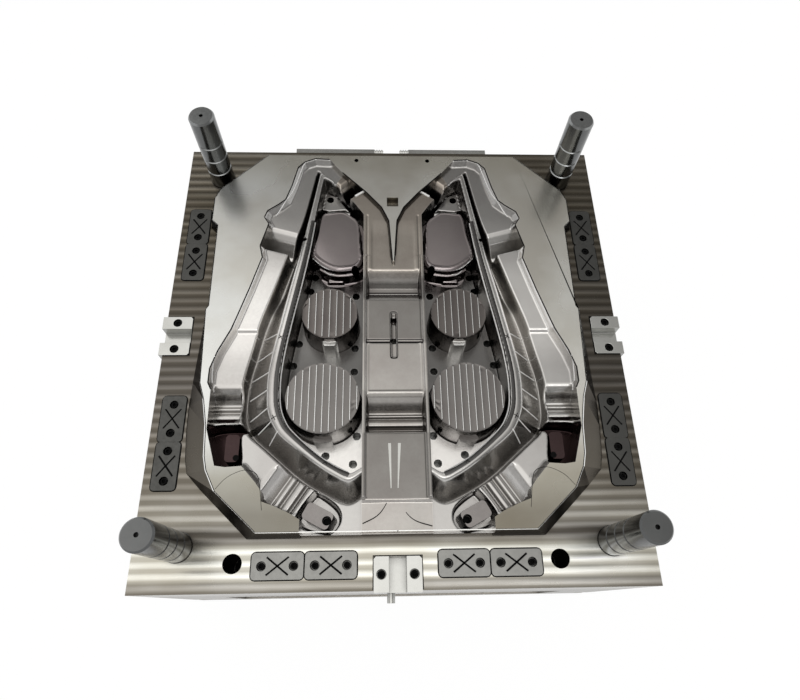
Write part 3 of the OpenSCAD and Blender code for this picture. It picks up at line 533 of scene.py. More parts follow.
def boss_mesh(name, at, r, pitch, nicks, block, foot, side):
    """A round boss whose top follows straight bands, with nicks, a flared foot and a block at its front."""
    bm = bmesh.new()
    steps = int(2 * r / pitch)
    offsets = np.array([-pitch / 2, -2.1, -1.3, -0.7, 0, 0.7, 1.3, 2.1])
    xs = sorted({round(float(k * pitch + o), 4) for k in range(-steps, steps + 1) for o in offsets})
    xs = [x for x in xs if abs(x) < r - 1.2]
    xs = [-r + 0.15] + xs + [r - 0.15]
    rows = []
    for x in xs:
        half = math.sqrt(max(r * r - x * x, 0))
        rows.append([])
        for t in np.linspace(-1, 1, 33):
            z = boss_top(x, pitch)
            y = t * half
            for nx, ny in nicks:
                if math.hypot(x - nx, y - ny) < 2.4:
                    z -= 1.8
            rows[-1].append(bm.verts.new(place(at[0] + x, at[1] + y, z, side)))
    for a, b in zip(rows, rows[1:]):
        for k in range(len(a) - 1):
            bm.faces.new((a[k], b[k], b[k + 1], a[k + 1]) if side > 0 else (a[k], a[k + 1], b[k + 1], b[k]))
    rim = [e for e in bm.edges if e.is_boundary]
    tall = BOSS_Z - FLOOR_Z
    bend = 0.7 * 3.1 + 0.3 * foot
    for grow, drop in ((0.6, 0.9), (1.0, 3), (2.2, 28), (2.9, 33), (3.1, tall - 9), (bend, tall - 3.5),
            (foot, tall - 0.6), (foot + 0.1, tall + 4)):
        made = bmesh.ops.extrude_edge_only(bm, edges=rim)["geom"]
        rim = [e for e in made if isinstance(e, bmesh.types.BMEdge)]
        for v in {v for e in rim for v in e.verts}:
            dx, dy = v.co.x - side * at[0] / 1000, v.co.y - front_y - at[1] / 1000
            scale = (r + grow) / 1000 / math.hypot(dx, dy)
            v.co = Vector((side * at[0] / 1000 + dx * scale, front_y + at[1] / 1000 + dy * scale,
                rim_z + (BOSS_Z - drop) / 1000))
    bmesh.ops.holes_fill(bm, edges=[e for e in bm.edges if e.is_boundary], sides=0)
    width, out, top = block
    corners = [(-width / 2, 0), (-width / 2, 0.7), (-width / 2 + 0.3 * out, 1)]
    corners += [(-dx, dy) for dx, dy in reversed(corners)]
    base, roof = [[bm.verts.new(place(at[0] + dx, at[1] - r + 6 - (out + 6) * dy, z, side)) for dx, dy in corners]
        for z in (FLOOR_Z - 2, top)]
    bm.faces.new(base)
    bm.faces.new(roof[::-1])
    for k in range(len(corners)):
        bm.faces.new((base[k - 1], roof[k - 1], roof[k], base[k]))
    return finish_mesh(bm, name, 30)


# ---- Camera, lights and floor ----

def make_camera():
    """The photo's view, worked out from the guide pins and the corners of the rim."""
    data = bpy.data.cameras.new("camera")
    data.sensor_width = 36
    data.lens = 26.28
    data.shift_y = 0.0104
    data.clip_end = 50
    cam = bpy.data.objects.new("camera", data)
    turn = Matrix.Rotation(-0.0909, 4, "Z") @ Matrix.Rotation(0.4079, 4, "X") @ Matrix.Rotation(0.0792, 4, "Z")
    cam.matrix_world = Matrix.Translation((-0.0327, front_y - 0.0307, rim_z + 1.1199)) @ turn
    bpy.context.scene.collection.objects.link(cam)
    bpy.context.scene.camera = cam


def area_light(name, at, aim, size, watts, colour=(1, 1, 1)):
    """A rectangular lamp turned to a point."""
    data = bpy.data.lights.new(name, "AREA")
    data.shape = "RECTANGLE"
    data.size, data.size_y = size
    data.energy = watts
    data.color = colour
    lamp = bpy.data.objects.new(name, data)
    lamp.location = at
    lamp.rotation_euler = (Vector(aim) - Vector(at)).to_track_quat("-Z", "Y").to_euler()
    bpy.context.scene.collection.objects.link(lamp)


class Shader:
    """A short way to add and join shader nodes."""

    def __init__(self, tree):
        self.tree = tree
        self.tree.nodes.clear()

    def put(self, node, key, value):
        if isinstance(value, bpy.types.NodeSocket):
            self.tree.links.new(value, node.inputs[key])
        else:
            node.inputs[key].default_value = value

    def add(self, kind, inputs=None, **settings):
        node = self.tree.nodes.new(kind)
        for key, value in settings.items():
            setattr(node, key, value)
        for key, value in (inputs or {}).items():
            self.put(node, key, value)
        return node

    def math(self, operation, a, b=0.0):
        return self.add("ShaderNodeMath", {0: a, 1: b}, operation=operation).outputs[0]

    def remap(self, value, low, high, to_low=0.0, to_high=1.0):
        return self.add("ShaderNodeMapRange", {0: value, 1: low, 2: high, 3: to_low, 4: to_high}).outputs[0]

    def mix(self, factor, a, b, kind="MIX"):
        node = self.add("ShaderNodeMix", data_type="RGBA", blend_type=kind)
        for key, value in ((0, factor), (6, a), (7, b)):
            self.put(node, key, value)
        return node.outputs[2]

    def times(self, a, b):
        return self.mix(1.0, a, b, "MULTIPLY")

    def near(self, xyz, spot):
        """1 inside an upright round spot (x, y, r, top), in millimetres on the rim and on both hands."""
        x, y, r, top = spot
        dx = self.math("SUBTRACT", self.math("ABSOLUTE", xyz.outputs["X"]), abs(x) / 1000)
        dy = self.math("SUBTRACT", xyz.outputs["Y"], front_y + y / 1000)
        gap = self.math("SQRT", self.math("ADD", self.math("MULTIPLY", dx, dx), self.math("MULTIPLY", dy, dy)))
        low = self.math("LESS_THAN", xyz.outputs["Z"], rim_z + top / 1000)
        return self.math("MULTIPLY", self.remap(gap, r / 1000 - 0.0006, r / 1000, 1.0, 0.0), low)


def ramp(s, value, stops):
    """A colour ramp; its first and last stop come first in the list."""
    node = s.add("ShaderNodeValToRGB", {0: value})
    marks = node.color_ramp.elements
    for k, (at, colour) in enumerate(stops):
        mark = marks[k] if k < 2 else marks.new(at)
        mark.position = at
        mark.color = (*colour, 1)
    return node.outputs[0]


def make_world():
    """A soft studio: bright overhead and to the left, grey to the right, darker low down."""
    world = bpy.data.worlds.new("studio")
    bpy.context.scene.world = world
    world.use_nodes = True
    s = Shader(world.node_tree)
    way = s.add("ShaderNodeTexCoord").outputs["Generated"]
    axes = s.add("ShaderNodeSeparateXYZ", {0: way})
    lean = s.math("MULTIPLY", axes.outputs["X"], -0.14)
    lean = s.math("ADD", lean, s.math("MULTIPLY", axes.outputs["Y"], -0.18))
    level = s.math("ADD", axes.outputs["Z"], lean)
    tones = ((0.0, 0.13), (0.40, 0.17), (0.60, 0.23), (0.78, 0.48), (0.92, 0.92), (1.0, 1.2))
    sky = ramp(s, level, [(at, (v, v * 0.985, v * 0.965)) for at, v in (tones[0], tones[-1]) + tones[1:-1]])
    back = s.add("ShaderNodeBackground", {0: sky, 1: 1.15})
    s.add("ShaderNodeOutputWorld", {0: back.outputs[0]})


def make_floor():
    """A white floor that curves up into a round backdrop, with the object's own shadow on it."""
    bm = bmesh.new()
    floor_z = cad_box[0][2] - 0.0005
    rings = [(0.0, 0.0), (2.0, 0.0), (4.2, 0.0)]
    rings += [(4.2 + 1.6 * math.sin(t), 1.6 - 1.6 * math.cos(t)) for t in np.linspace(0.2, math.pi / 2, 7)]
    rings.append((5.8, 3.4))
    count = 72
    turns = [k * 2 * math.pi / count for k in range(count)]
    loops = [[bm.verts.new((r * math.cos(a), r * math.sin(a), floor_z + h)) for a in turns] for r, h in rings[1:]]
    centre = bm.verts.new((0, 0, floor_z))
    for k in range(count):
        bm.faces.new((centre, loops[0][k], loops[0][(k + 1) % count]))
        for a, b in zip(loops, loops[1:]):
            bm.faces.new((a[k], b[k], b[(k + 1) % count], a[(k + 1) % count]))
    mesh = bpy.data.meshes.new("floor")
    for face in bm.faces:
        face.smooth = True
    bm.to_mesh(mesh)
    bm.free()
    floor = bpy.data.objects.new("floor", mesh)
    bpy.context.scene.collection.objects.link(floor)
    m = bpy.data.materials.new("floor")
    m.use_nodes = True
    s = Shader(m.node_tree)
    path = s.add("ShaderNodeLightPath")
    seen = s.math("MAXIMUM", path.outputs["Is Camera Ray"], path.outputs["Is Glossy Ray"])
    seen = s.math("MAXIMUM", seen, path.outputs["Is Transmission Ray"])
    lit = s.add("ShaderNodeBsdfDiffuse", {0: (0.93, 0.93, 0.93, 1)})
    glow = s.add("ShaderNodeEmission", {0: (1, 1, 1, 1), 1: 1.03})
    both = s.add("ShaderNodeMixShader", {0: s.math("MULTIPLY", seen, 0.93), 1: lit.outputs[0], 2: glow.outputs[0]})
    s.add("ShaderNodeOutputMaterial", {0: both.outputs[0]})
    mesh.materials.append(m)


# ---- Materials ----

# Painted shade: black for the insides of holes, bores and deep pits.
SHADE_BLACK = (0.004, 0.004, 0.004)


def steel(name, colour, tint, rough=0.24, blotch=0.5, scale=9.0, wall=0.5, hollow=0.6, reach=0.02, deep=0.16,
        black_below=None, metallic=1.0, gloss=0.5, zones=None, floor_zones=None, pit=None, spots=(), edge=0.0):
    """Machined steel. tint clouds it, and painted shade darkens steep walls and hollows by wall and hollow.

    zones and floor_zones paint light and shade on it from front to rear, pit is (y, z): painted black shade behind y
    and below z, spots are round places (x, y, r, top) painted in a colour of their own, mostly black as painted shade
    in holes, and edge paints a highlight on sharp convex edges."""
    m = bpy.data.materials.new(name)
    m.use_nodes = True
    s = Shader(m.node_tree)
    where = s.add("ShaderNodeTexCoord").outputs["Object"]
    xyz = s.add("ShaderNodeSeparateXYZ", {0: where})
    cloud = s.add("ShaderNodeTexNoise", {"Vector": where, "Scale": scale, "Detail": 5.0, "Roughness": 0.62})
    fine = s.add("ShaderNodeTexNoise", {"Vector": where, "Scale": 160.0, "Detail": 3.0})
    base = s.mix(s.remap(cloud.outputs[0], 0.36, 0.66, 0.0, blotch), (*colour, 1), (*tint, 1))
    along = s.remap(xyz.outputs["Y"], front_y, front_y + plate_d / 1000)
    # Painted light from front to rear.
    if zones:
        base = s.times(base, ramp(s, along, zone_stops(zones)))
    # Painted light and shade on the impression's floors, from front to rear.
    if floor_zones:
        low = s.remap(xyz.outputs["Z"], rim_z - 0.047, rim_z - 0.043, 1.0, 0.0)
        base = s.mix(low, base, s.times(base, ramp(s, along, zone_stops(floor_zones))))
    # Painted shade: black in the pit.
    if pit:
        behind, under_z = pit
        low = s.remap(xyz.outputs["Z"], rim_z + under_z / 1000, rim_z + (under_z + 3) / 1000, 1.0, 0.0)
        low = s.math("MULTIPLY", low, s.math("GREATER_THAN", xyz.outputs["Y"], front_y + behind / 1000))
        base = s.mix(low, base, (*SHADE_BLACK, 1))
    height = s.math("MULTIPLY", fine.outputs[0], 0.000003)
    # Painted shade: steep walls go dark.
    slope = s.add("ShaderNodeSeparateXYZ", {0: s.add("ShaderNodeNewGeometry").outputs["Normal"]}).outputs["Z"]
    base = s.mix(s.remap(slope, 0.15, 0.9, wall, 0.0), base, (*[c * deep for c in tint], 1))
    # Painted shade in hollows, from ambient occlusion.
    if hollow:
        shade = s.add("ShaderNodeAmbientOcclusion", {"Distance": reach}, samples=6).outputs["AO"]
        base = s.mix(s.remap(shade, 0.2, 0.85, hollow, 0.0), base, (*[c * deep for c in tint], 1))
    # Painted highlight along sharp convex edges.
    if edge:
        edge_highlight = s.add("ShaderNodeNewGeometry").outputs["Pointiness"]
        base = s.mix(s.remap(edge_highlight, 0.52, 0.62, 0.0, edge), base, (0.9, 0.89, 0.87, 1))
    for *spot, spot_colour in spots:
        base = s.mix(s.near(xyz, spot), base, (*spot_colour, 1))
    # Painted shade: black below black_below, in the deep holes.
    if black_below is not None:
        base = s.mix(s.remap(xyz.outputs["Z"], black_below, black_below + 0.002, 1.0, 0.0), base, (*SHADE_BLACK, 1))
    rough_at = s.remap(fine.outputs[0], 0.3, 0.7, rough * 0.85, rough * 1.2)
    bump = s.add("ShaderNodeBump", {"Height": height, "Strength": 1.0, "Distance": 1.0})
    shader = s.add("ShaderNodeBsdfPrincipled", {"Base Color": base, "Metallic": metallic, "Roughness": rough_at,
        "Normal": bump.outputs[0], "Specular IOR Level": gloss})
    s.add("ShaderNodeOutputMaterial", {0: shader.outputs[0]})
    return m


def zone_stops(zones):
    """Ramp stops from (y, level) or (y, colour) in millimetres from the front edge."""
    stops = [(y / plate_d, v if isinstance(v, tuple) else (v, v, v)) for y, v in zones]
    return [stops[0], stops[-1]] + stops[1:-1]


def plate_steel():
    """The frame plate: a smooth land, milled bands on the rim, painted shade on the drafted sides, a painted highlight
    on the top edges, and painted light from front to rear.
    """
    m = bpy.data.materials.new("plate_steel")
    m.use_nodes = True
    s = Shader(m.node_tree)
    where = s.add("ShaderNodeTexCoord").outputs["Object"]
    xyz = s.add("ShaderNodeSeparateXYZ", {0: where})
    slope = s.add("ShaderNodeSeparateXYZ", {0: s.add("ShaderNodeNewGeometry").outputs["Normal"]}).outputs["Z"]
    broad = s.add("ShaderNodeTexNoise", {"Vector": where, "Scale": 4.5, "Detail": 4.0, "Roughness": 0.55}).outputs[0]
    fine = s.add("ShaderNodeTexNoise", {"Vector": where, "Scale": 160.0, "Detail": 3.0}).outputs[0]
    along = s.remap(xyz.outputs["Y"], front_y, front_y + plate_d / 1000)
    # The land, its colour lighter to the right and darker at the front and the rear: painted light, which evens out the
    # world's darker right, with a random tone over it.
    hand = s.remap(xyz.outputs["X"], -0.36, 0.42)
    land = s.mix(hand, (0.66, 0.665, 0.65, 1), (0.86, 0.85, 0.80, 1))
    land = s.times(land, ramp(s, along, zone_stops(LAND_ZONES)))
    land = s.times(land, s.mix(s.remap(broad, 0.38, 0.62), (0.86, 0.84, 0.80, 1), (1.06, 1.07, 1.07, 1)))
    # The rim, with bands left by the cutter, and painted light from front to rear, brightest in a band near the front
    # edge.
    rim = ramp(s, along, zone_stops(RIM_ZONES))
    stretched = s.add("ShaderNodeVectorMath", {0: where, 1: (3.0, 60.0, 3.0)}, operation="MULTIPLY").outputs[0]
    uneven = s.add("ShaderNodeTexNoise", {"Vector": stretched, "Scale": 0.9, "Detail": 3.0}).outputs[0]
    wave = s.add("ShaderNodeTexWave", {"Vector": where, "Scale": 0.31416 / 0.020, "Distortion": 0.35, "Detail": 1.0,
        "Detail Scale": 0.6}, bands_direction="Y", wave_profile="SIN").outputs["Fac"]
    flat = s.remap(slope, 0.9, 0.99)
    band = s.math("MULTIPLY", s.math("MULTIPLY", wave, uneven), flat)
    rim = s.times(rim, s.mix(s.remap(band, 0.1, 0.7), (0.52, 0.50, 0.46, 1), (1.2, 1.2, 1.19, 1)))
    rim = s.times(rim, s.mix(s.remap(broad, 0.35, 0.65), (0.85, 0.83, 0.79, 1), (1.1, 1.1, 1.1, 1)))
    on_rim = s.math("MULTIPLY", s.remap(xyz.outputs["Z"], rim_z + 0.0008, rim_z + 0.0015, 1.0, 0.0), flat)
    on_land = s.remap(xyz.outputs["Z"], rim_z + 0.0284, rim_z + 0.0290)
    base = s.mix(on_land, rim, land)
    # Painted shade: the drafted sides go dark, and faces near upright take a mid grey.
    sides = s.math("MULTIPLY", s.remap(slope, 0.45, 0.9, 0.93, 0.0), s.remap(slope, 0.05, 0.12))
    base = s.mix(sides, base, (0.035, 0.029, 0.026, 1))
    base = s.mix(s.remap(slope, 0.02, 0.10, 0.9, 0.0), base, (0.30, 0.285, 0.26, 1))
    # Painted highlight on faces at the land's height that tilt a little, as along its top edges.
    top_edge_highlight = s.math("MULTIPLY", on_land, s.remap(slope, 0.97, 0.995, 1.0, 0.0))
    base = s.mix(top_edge_highlight, base, (0.93, 0.93, 0.91, 1))
    # Painted shade in hollows, from ambient occlusion.
    shade = s.add("ShaderNodeAmbientOcclusion", {"Distance": 0.014}, samples=6).outputs["AO"]
    base = s.mix(s.remap(shade, 0.25, 0.8, 0.7, 0.0), base, (0.02, 0.018, 0.016, 1))
    # Painted shade: the two bores in the rim are black.
    for spot in ((298.5, 50, 17.8, -1), (40, 28, 9, -1)):
        base = s.mix(s.near(xyz, spot), base, (*SHADE_BLACK, 1))
    height = s.math("MULTIPLY", fine, 0.0000015)
    height = s.math("ADD", height, s.math("MULTIPLY", s.math("MULTIPLY", band, on_rim), 0.0008))
    bump = s.add("ShaderNodeBump", {"Height": height, "Strength": 1.0, "Distance": 1.0})
    shader = s.add("ShaderNodeBsdfPrincipled", {"Base Color": base, "Metallic": 1.0,
        "Roughness": s.remap(broad, 0.3, 0.7, 0.23, 0.30), "Normal": bump.outputs[0]})
    s.add("ShaderNodeOutputMaterial", {0: shader.outputs[0]})
    return m


def dress(names, material, edge=0.0, segments=2):
    """Gives CAD nodes a material and, where asked, rounds their edges."""
    for name in names:
        piece = nodes[name]
        piece.data.materials.clear()
        piece.data.materials.append(material)
        if edge:
            weld = piece.modifiers.new("weld", "WELD")
            weld.merge_threshold = 0.00001
            flat = piece.modifiers.new("flat", "DECIMATE")
            flat.decimate_type = "DISSOLVE"
            flat.angle_limit = math.radians(0.5)
            bevel = piece.modifiers.new("edge", "BEVEL")
            bevel.width = edge
            bevel.segments = segments
            bevel.limit_method = "ANGLE"
            bevel.angle_limit = math.radians(32)
            normals = piece.modifiers.new("normals", "WEIGHTED_NORMAL")
            normals.keep_sharp = True


def starting(prefix):
    """CAD nodes by the start of their names."""
    return [name for name in nodes if name.startswith(prefix)]


make_camera()
make_world()
make_floor()
area_light("key", (-1.3, 0.9, 2.4), (0, 0, rim_z), (1.8, 1.4), 3.5, (1.0, 0.99, 0.97))
area_light("front", (0.3, -1.2, 2.6), (0, -0.2, rim_z), (1.8, 0.5), 5)

# Painted shade: the walls of the pin holes are painted black below this.
HOLE_Z = rim_z - 0.0530
# Painted light from front to rear, as (y, value): levels or colours for how light and its reflections fall on each
# piece; the floor zones paint light and shade on the impression's floors.
LAND_ZONES = [(0, (0.30, 0.285, 0.25)), (130, (0.33, 0.31, 0.275)), (200, (0.55, 0.53, 0.48)), (270, 0.95),
    (420, 1.05), (780, 1.0), (860, 0.95), (930, (0.80, 0.78, 0.74)), (1000, (0.66, 0.63, 0.57))]
RIM_ZONES = [(0, (0.34, 0.33, 0.31)), (14, (0.46, 0.45, 0.43)), (24, (0.96, 0.97, 0.94)), (76, (0.98, 1.0, 0.97)),
    (84, (0.34, 0.33, 0.31)), (100, (0.16, 0.15, 0.14)), (125, (0.50, 0.49, 0.46)), (190, (0.26, 0.245, 0.22)),
    (400, (0.15, 0.14, 0.13)), (800, (0.17, 0.155, 0.13)), (1000, (0.27, 0.25, 0.215))]
SPINE_ZONES = [(0, 1.15), (157, 1.15), (160, 0.62), (283, 0.60), (286, 0.9), (370, 0.95), (374, 1.2), (474, 1.2),
    (478, 0.75), (575, 0.78), (580, 0.42), (628, 0.45), (636, 0.95), (656, (1.12, 1.08, 1.02)),
    (800, (0.98, 0.92, 0.86)), (960, (0.85, 0.80, 0.74))]
CORE_ZONES = [(0, 0.9), (300, 0.9), (430, 1.0), (490, 1.4), (640, 1.4), (720, 1.0), (800, 0.72), (1000, 0.66)]
CORE_FLOOR_ZONES = [(0, 1.6), (290, 1.5), (330, 0.5), (420, 0.24), (700, 0.24), (1000, 0.30)]
BROWN, UMBER = (0.030, 0.019, 0.019), (0.060, 0.040, 0.040)
plate = plate_steel()
under = steel("under_steel", (0.44, 0.42, 0.385), (0.27, 0.245, 0.21), rough=0.3)
# Painted shade: black in the pin holes below HOLE_Z and in the apex and ridge holes, and dark brown over the upper
# lifter's recess, partly a brown tint; painted light by the zones, and a painted highlight on edges.
core = steel("core_steel", (0.62, 0.61, 0.59), (0.40, 0.37, 0.355), rough=0.22, black_below=HOLE_Z, wall=0.36,
    hollow=0.25, deep=0.24, edge=0.25, blotch=0.35, scale=6.0, zones=CORE_ZONES, floor_zones=CORE_FLOOR_ZONES,
    spots=((340, 262, 56, 5, BROWN), (147, 873, 9.4, -22, SHADE_BLACK), (196, 730, 5.4, 23, SHADE_BLACK)))
# Painted shade: black in the holes below HOLE_Z and in the arm pockets behind the pit; painted light from front to rear
# by SPINE_ZONES, and a painted highlight on edges.
spine = steel("spine_steel", (0.44, 0.425, 0.40), (0.29, 0.26, 0.245), rough=0.22, black_below=HOLE_Z, edge=0.3,
    zones=SPINE_ZONES, wall=0.6, pit=(812, 8))
pad = steel("pad_steel", (0.33, 0.30, 0.295), (0.27, 0.23, 0.235), rough=0.16, wall=0.55)
# Painted highlight: the small disc's front block is painted near white.
boss = steel("boss_steel", (0.18, 0.165, 0.155), (0.13, 0.115, 0.11), rough=0.2, wall=0.35, hollow=0.3, deep=0.3,
    spots=((136, 482, 17, 9, (0.85, 0.85, 0.83)),))
large_boss = steel("large_boss_steel", (0.22, 0.21, 0.20), (0.16, 0.145, 0.14), rough=0.2, wall=0.4, hollow=0.35,
    deep=0.25)
# Painted shade: the hole in the lower lifter's face is painted black.
lifter = steel("lifter_steel", (0.28, 0.265, 0.255), (0.19, 0.165, 0.16), rough=0.3,
    spots=((130.1, 121.5, 8.6, 11.5, SHADE_BLACK),))
umber = steel("umber_steel", UMBER, BROWN, rough=0.3)
dark = steel("dark_steel", (0.10, 0.10, 0.095), (0.07, 0.068, 0.064), rough=0.36, wall=0.3)
# Two copies of the wear plates' steel: the lighter one is a painted reflection, for the plates at the front.
wear = steel("wear_steel", (0.10, 0.10, 0.095), (0.068, 0.068, 0.064), rough=0.40, wall=0.75, blotch=0.4, scale=30)
front_wear_plate_sheen = steel("wear_plate_painted_sheen_steel", (0.32, 0.32, 0.305), (0.22, 0.22, 0.21), rough=0.36, wall=0.75, blotch=0.4,
    scale=30)
# Painted light: the guide pins are painted lighter towards the rear.
pin = steel("pin_steel", (0.20, 0.205, 0.205), (0.13, 0.135, 0.135), rough=0.2, wall=0.7, hollow=0.3, deep=0.25,
    zones=[(0, 0.72), (300, 0.8), (600, 1.5), (1000, 2.0)])
bright = steel("bright_steel", (0.62, 0.625, 0.60), (0.46, 0.455, 0.43), rough=0.2, wall=0.5)
# Near-white steel for thin raised lines, as a painted highlight.
painted_highlight = steel("painted_highlight_steel", (0.95, 0.95, 0.94), (0.85, 0.85, 0.83), rough=0.25, wall=0.0, hollow=0.0)
# White for thin raised lines on edges and slots, as a painted highlight.
painted_edge_highlight = steel("painted_edge_highlight_steel", (0.95, 0.95, 0.94), (0.88, 0.88, 0.86), rough=0.5, wall=0.0, hollow=0.0, metallic=0.0)
# Dark steel for a band along the inner side of the rolled crest, as painted shade.
crest_shade = steel("crest_painted_shade_steel", (0.10, 0.098, 0.095), (0.075, 0.072, 0.07), rough=0.25, wall=0.2, hollow=0.0)
# Black for the screws' black oxide, and for painted shade along joints and grooves and over hole mouths.
black = steel("black_oxide", (0.006, 0.006, 0.006), (0.003, 0.003, 0.003), rough=0.8, metallic=0.0, wall=0.0,
    hollow=0.0, gloss=0.08)
bronze = steel("bronze", (0.45, 0.30, 0.12), (0.33, 0.20, 0.08), rough=0.3)
brass = steel("brass", (0.55, 0.42, 0.18), (0.40, 0.28, 0.11), rough=0.3)

# ---- The CAD's own pieces ----

dress(["core_plate"], plate)
# Flat faces of the frame plate shade flat.
split = nodes["core_plate"].modifiers.new("split", "EDGE_SPLIT")
split.split_angle = math.radians(20)
nodes["core_plate"].modifiers.new("normals", "WEIGHTED_NORMAL")
dress(["clamp_plate", "spacer_rail_left", "spacer_rail_right", "support_plate", "ejector_plate", "retainer_plate",
    "support_pillars"], under)
dress(starting("guide_pin"), pin)
wear_names = [name for name in starting("wear_plate") if name != "wear_plate_screws"]
wear_boxes = {name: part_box(name) for name in wear_names}
# Painted reflection: the front wear plates take the lighter copy.
for name, (low, high) in wear_boxes.items():
    dress([name], front_wear_plate_sheen if high.y < front_y + 0.12 else wear, 0.0006)
dress(["interlock_left", "interlock_right", "interlock_front"], bright, 0.001)
dress([name for name in nodes if name.endswith("screws")], black)
dress([name for name in nodes if name.endswith("bushes")], bronze)
dress(starting("lifter_lower"), lifter, 0.002, 3)
dress(starting("lifter_upper"), umber, 0.002, 3)
dress(["lifter_gibs", "stop_buttons"], dark)
dress(["ejector_pins", "sprue_puller", "ejector_guide_rods", "front_nipple"] + starting("rear_manifold"), bright)
dress(["water_nipples"], brass)

# ---- Finer pieces in place of the inserts, pads and bosses ----

# Nicks in the tops of the round cores, from their centres.
SMALL_NICKS = [(40, 38), (46, 30), (-50, 20), (4, -52)]
LARGE_NICKS = [(-28, 62), (60, -12), (62, -24), (-50, -46)]
# Front blocks: width, reach and level of the top.
SMALL_BLOCK, LARGE_BLOCK = (26, 10, 8), (38, 9, -8)
for side, hand in ((1, "left"), (-1, "right")):
    mesh = field_mesh("impression_" + hand, INSERT_OUTLINE, insert_height, POCKET_Z, PITCH, insert_holes, side)
    new_object("impression_" + hand, mesh, core, BASE, ["core_insert_" + hand])
    mesh = field_mesh("pad_top_" + hand, curve(PAD_FOOT, 4, True), pad_height, FLOOR_Z - 1, PAD_PITCH, insert_holes,
        side)
    new_object("pad_top_" + hand, mesh, pad, BASE, ["pad_core_" + hand])
    mesh = boss_mesh("small_disc_" + hand, SMALL_BOSS, SMALL_R, SMALL_PITCH, SMALL_NICKS, SMALL_BLOCK, SMALL_FOOT, side)
    new_object("small_disc_" + hand, mesh, boss, BASE, ["small_boss_" + hand])
    mesh = boss_mesh("large_disc_" + hand, LARGE_BOSS, LARGE_R, LARGE_PITCH, LARGE_NICKS, LARGE_BLOCK, LARGE_FOOT, side)
    new_object("large_disc_" + hand, mesh, large_boss, BASE, ["large_boss_" + hand])
mesh = field_mesh("spine_top", SPINE_OUTLINE, spine_height, POCKET_Z, PITCH, [SPRUE_HOLE])
new_object("spine_top", mesh, spine, BASE, ["centre_insert"])

# ---- Thin lines: painted shade along the joints between the pieces and painted highlights along edges and slots ----

# Painted shade: black strips along the wear plates' joints and across them on their oil grooves.
gaps, bars = [], []
for low, high in wear_boxes.values():
    x, y = (low.x + high.x) * 500, ((low.y + high.y) / 2 - front_y) * 1000
    gaps.append(rounded_box(x, y, (high.x - low.x) * 500 + 1.0, (high.y - low.y) * 500 + 1.0, 8.5, 0.1))
    level = (high.z - rim_z) * 1000 - 1.4
    base_turn = 0 if high.x - low.x > high.y - low.y else 90
    for turn in (-38, 38):
        a = math.radians(base_turn + turn)
        bars.append([(x + k * 24.5 * math.cos(a), y + k * 24.5 * math.sin(a), level) for k in (-1, 0, 1)])
beads("wear_plate_joints", gaps, 2.6, 0.3, black, (1,))
beads("wear_plate_grooves", bars, 2.9, 0.6, black, (1,), 0.1)
# Painted highlight along the land's top edge.
beads("land_edges", [at_level([(x + 0.8, y) for x, y in LAND_TOP], LAND_H - 0.4)], 2.4, 0.4, painted_highlight)
# Painted shade along the joints of the inserts with the plate and with each other.
seam_line = [p for p in WING_EDGE if p[1] > 300]
beads("insert_joints", [at_level(seam_line, LAND_H), at_level(TONGUE, LAND_H)], 2.8, 0.2, black)
# Painted highlights along the wing's shoulders and across the panel on its slots.
shoulder = [(-202, 947), (-213, 928), (-225, 880), (-235, 851), (-251, 822), (-266, 800)]
lower_shoulder = [(-290, 708), (-287, 696), (-304, 636), (-319, 576), (-329, 545), (-334, 512), (-347, 482),
    (-363, 444), (-367, 418), (-366, 392)]
beads("shoulder_edges", [laid(curve(shoulder, 4)), laid(curve(lower_shoulder, 4))], 2.4, 0.9, painted_edge_highlight)
beads("panel_slots", [laid(np.linspace(a, b, 9)) for a, b in RIB_LINES], 2.4, 1.0, painted_edge_highlight)
# Painted shade along the inner side of the rolled crest.
inner_band = curve([(0.28 * a[0] + 0.72 * b[0], 0.28 * a[1] + 0.72 * b[1]) for _, a, b, _ in RIDGE[1:-1]], 4)
beads("crest_band", [at_level(inner_band, RIDGE_Z - 0.6)], 11.5, 0.3, crest_shade)
# Painted highlight along the top of the inner wall.
wall_line = curve([(c[0], c[1], 16) for _, _, _, c in RIDGE[1:-1]], 4)
beads("wall_line", [wall_line], 2.4, 0.9, painted_edge_highlight, down=0.9)
# Painted highlights along the pad's chamfer and ledge.
pad_chamfer = [(-178, 690), (-153, 667), (-126, 658), (-101, 660)]
pad_ledge = [(-184, 699), (-170, 685), (-145, 656), (-126, 655), (-103, 656)]
beads("pad_edges", [at_level(curve(pad_chamfer, 4), 9.2), at_level(curve(pad_ledge, 4), 0.2)], 1.6, 0.4, painted_edge_highlight)
# Painted highlights on the raised lines between the bands of the round cores.
lines = []
for at, r, pitch in ((SMALL_BOSS, SMALL_R, SMALL_PITCH), (LARGE_BOSS, LARGE_R, LARGE_PITCH)):
    count = int((r - 4) / pitch)
    for k in range(-count, count + 1):
        half = math.sqrt(r * r - (k * pitch) ** 2) - 2.5
        lines.append([(at[0] + k * pitch, at[1] + j * half, BOSS_Z - 0.3) for j in (-1, 0, 1)])
beads("boss_lines", lines, 1.7, 0.5, painted_highlight)
# Painted highlight: a white bar along each arm's lip.
beads("arm_bars", [[(-86, 851, 21), (-56, 872, 21)]], 6.0, 3.0, painted_edge_highlight, down=20)
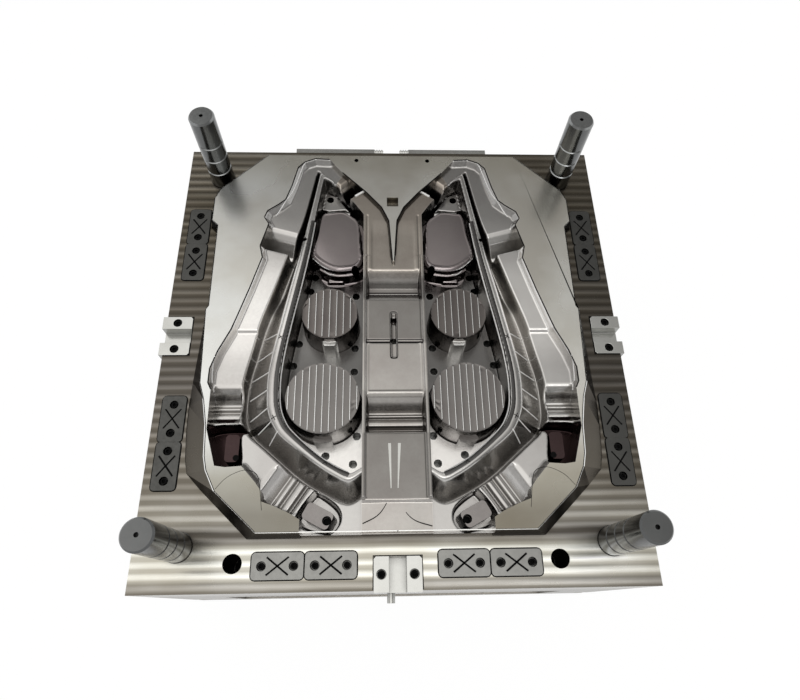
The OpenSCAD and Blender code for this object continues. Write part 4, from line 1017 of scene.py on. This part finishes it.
# Painted shade: black strips along the joints round the interlocks.
edges = []
for name in ("interlock_left", "interlock_right"):
    low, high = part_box(name)
    hand = 1 if low.x < 0 else -1
    inner = (high.x if hand > 0 else low.x) * 1000 + hand
    y0, y1 = (low.y - front_y) * 1000 - 1, (high.y - front_y) * 1000 + 1
    edges.append([(-hand * 478, y0, 0.1), (inner, y0, 0.1), (inner, y1, 0.1), (-hand * 478, y1, 0.1)])
low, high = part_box("interlock_front")
x0, x1, y1 = low.x * 1000 - 1, high.x * 1000 + 1, (high.y - front_y) * 1000 + 1
edges.append([(x0, 2, 0.1), (x0, y1, 0.1), (x1, y1, 0.1), (x1, 2, 0.1)])
beads("interlock_joints", edges, 2.6, 0.3, black, (1,))
beads("front_streaks", [[(-13, 264, SPINE_Z - 0.3), (-11, 178, SPINE_Z - 0.3)],
    [(6, 264, SPINE_Z - 0.3), (2, 178, SPINE_Z - 0.3)]], (8.0, 2.5), 0.4, bright, sides=(1,))
front_top = SPINE_Z - 4.6
beads("front_arcs", [at_level(curve([(-17, 156), (-28, 138), (-41, 126), (-64, 115)], 5), front_top),
    at_level(curve([(3, 154), (15, 135), (33, 119), (64, 109)], 5), front_top)], 2.0, 0.5, black, sides=(1,))
# Painted shade: a black disc over the hole in each upper lifter.
for hand, side in (("left", 1), ("right", -1)):
    dots("lifter_hole_" + hand, [(-309, 243, 2.0, 6.0)], black, "lifter_upper_" + hand, (side,))
marks = []
for mx, my in ((-235, 490), (-238, 317), (-135, 228)):
    for turn in (0.5, 2.1):
        reach = (6 * math.cos(turn), 6 * math.sin(turn))
        marks.append(laid([(mx - reach[0], my - reach[1]), (mx, my), (mx + reach[0], my + reach[1])]))
beads("crest_marks", marks, 1.6, 0.8, black)
plateau = [(-335, 178), (-315, 200), (-285, 213), (-262, 206), (-254, 183), (-247, 139)]
beads("plateau_line", [at_level(curve(plateau, 4), LAND_H)], 1.2, 0.1, black)
# Painted shade: black edges along the runner slots.
slot_rims = [rounded_box(-1.5, 496.5, 7.6, 53.5, 5, SPINE_Z - 0.2)]
slot_rims += [[(a, y, SPINE_Z - 0.2), (b, y, SPINE_Z - 0.2)] for y in (478, 485) for a, b in ((-59, -10), (7, 59))]
beads("runner_edges", slot_rims, 1.5, 0.3, black, sides=(1,))

scene = bpy.context.scene
scene.view_settings.view_transform = "Standard"
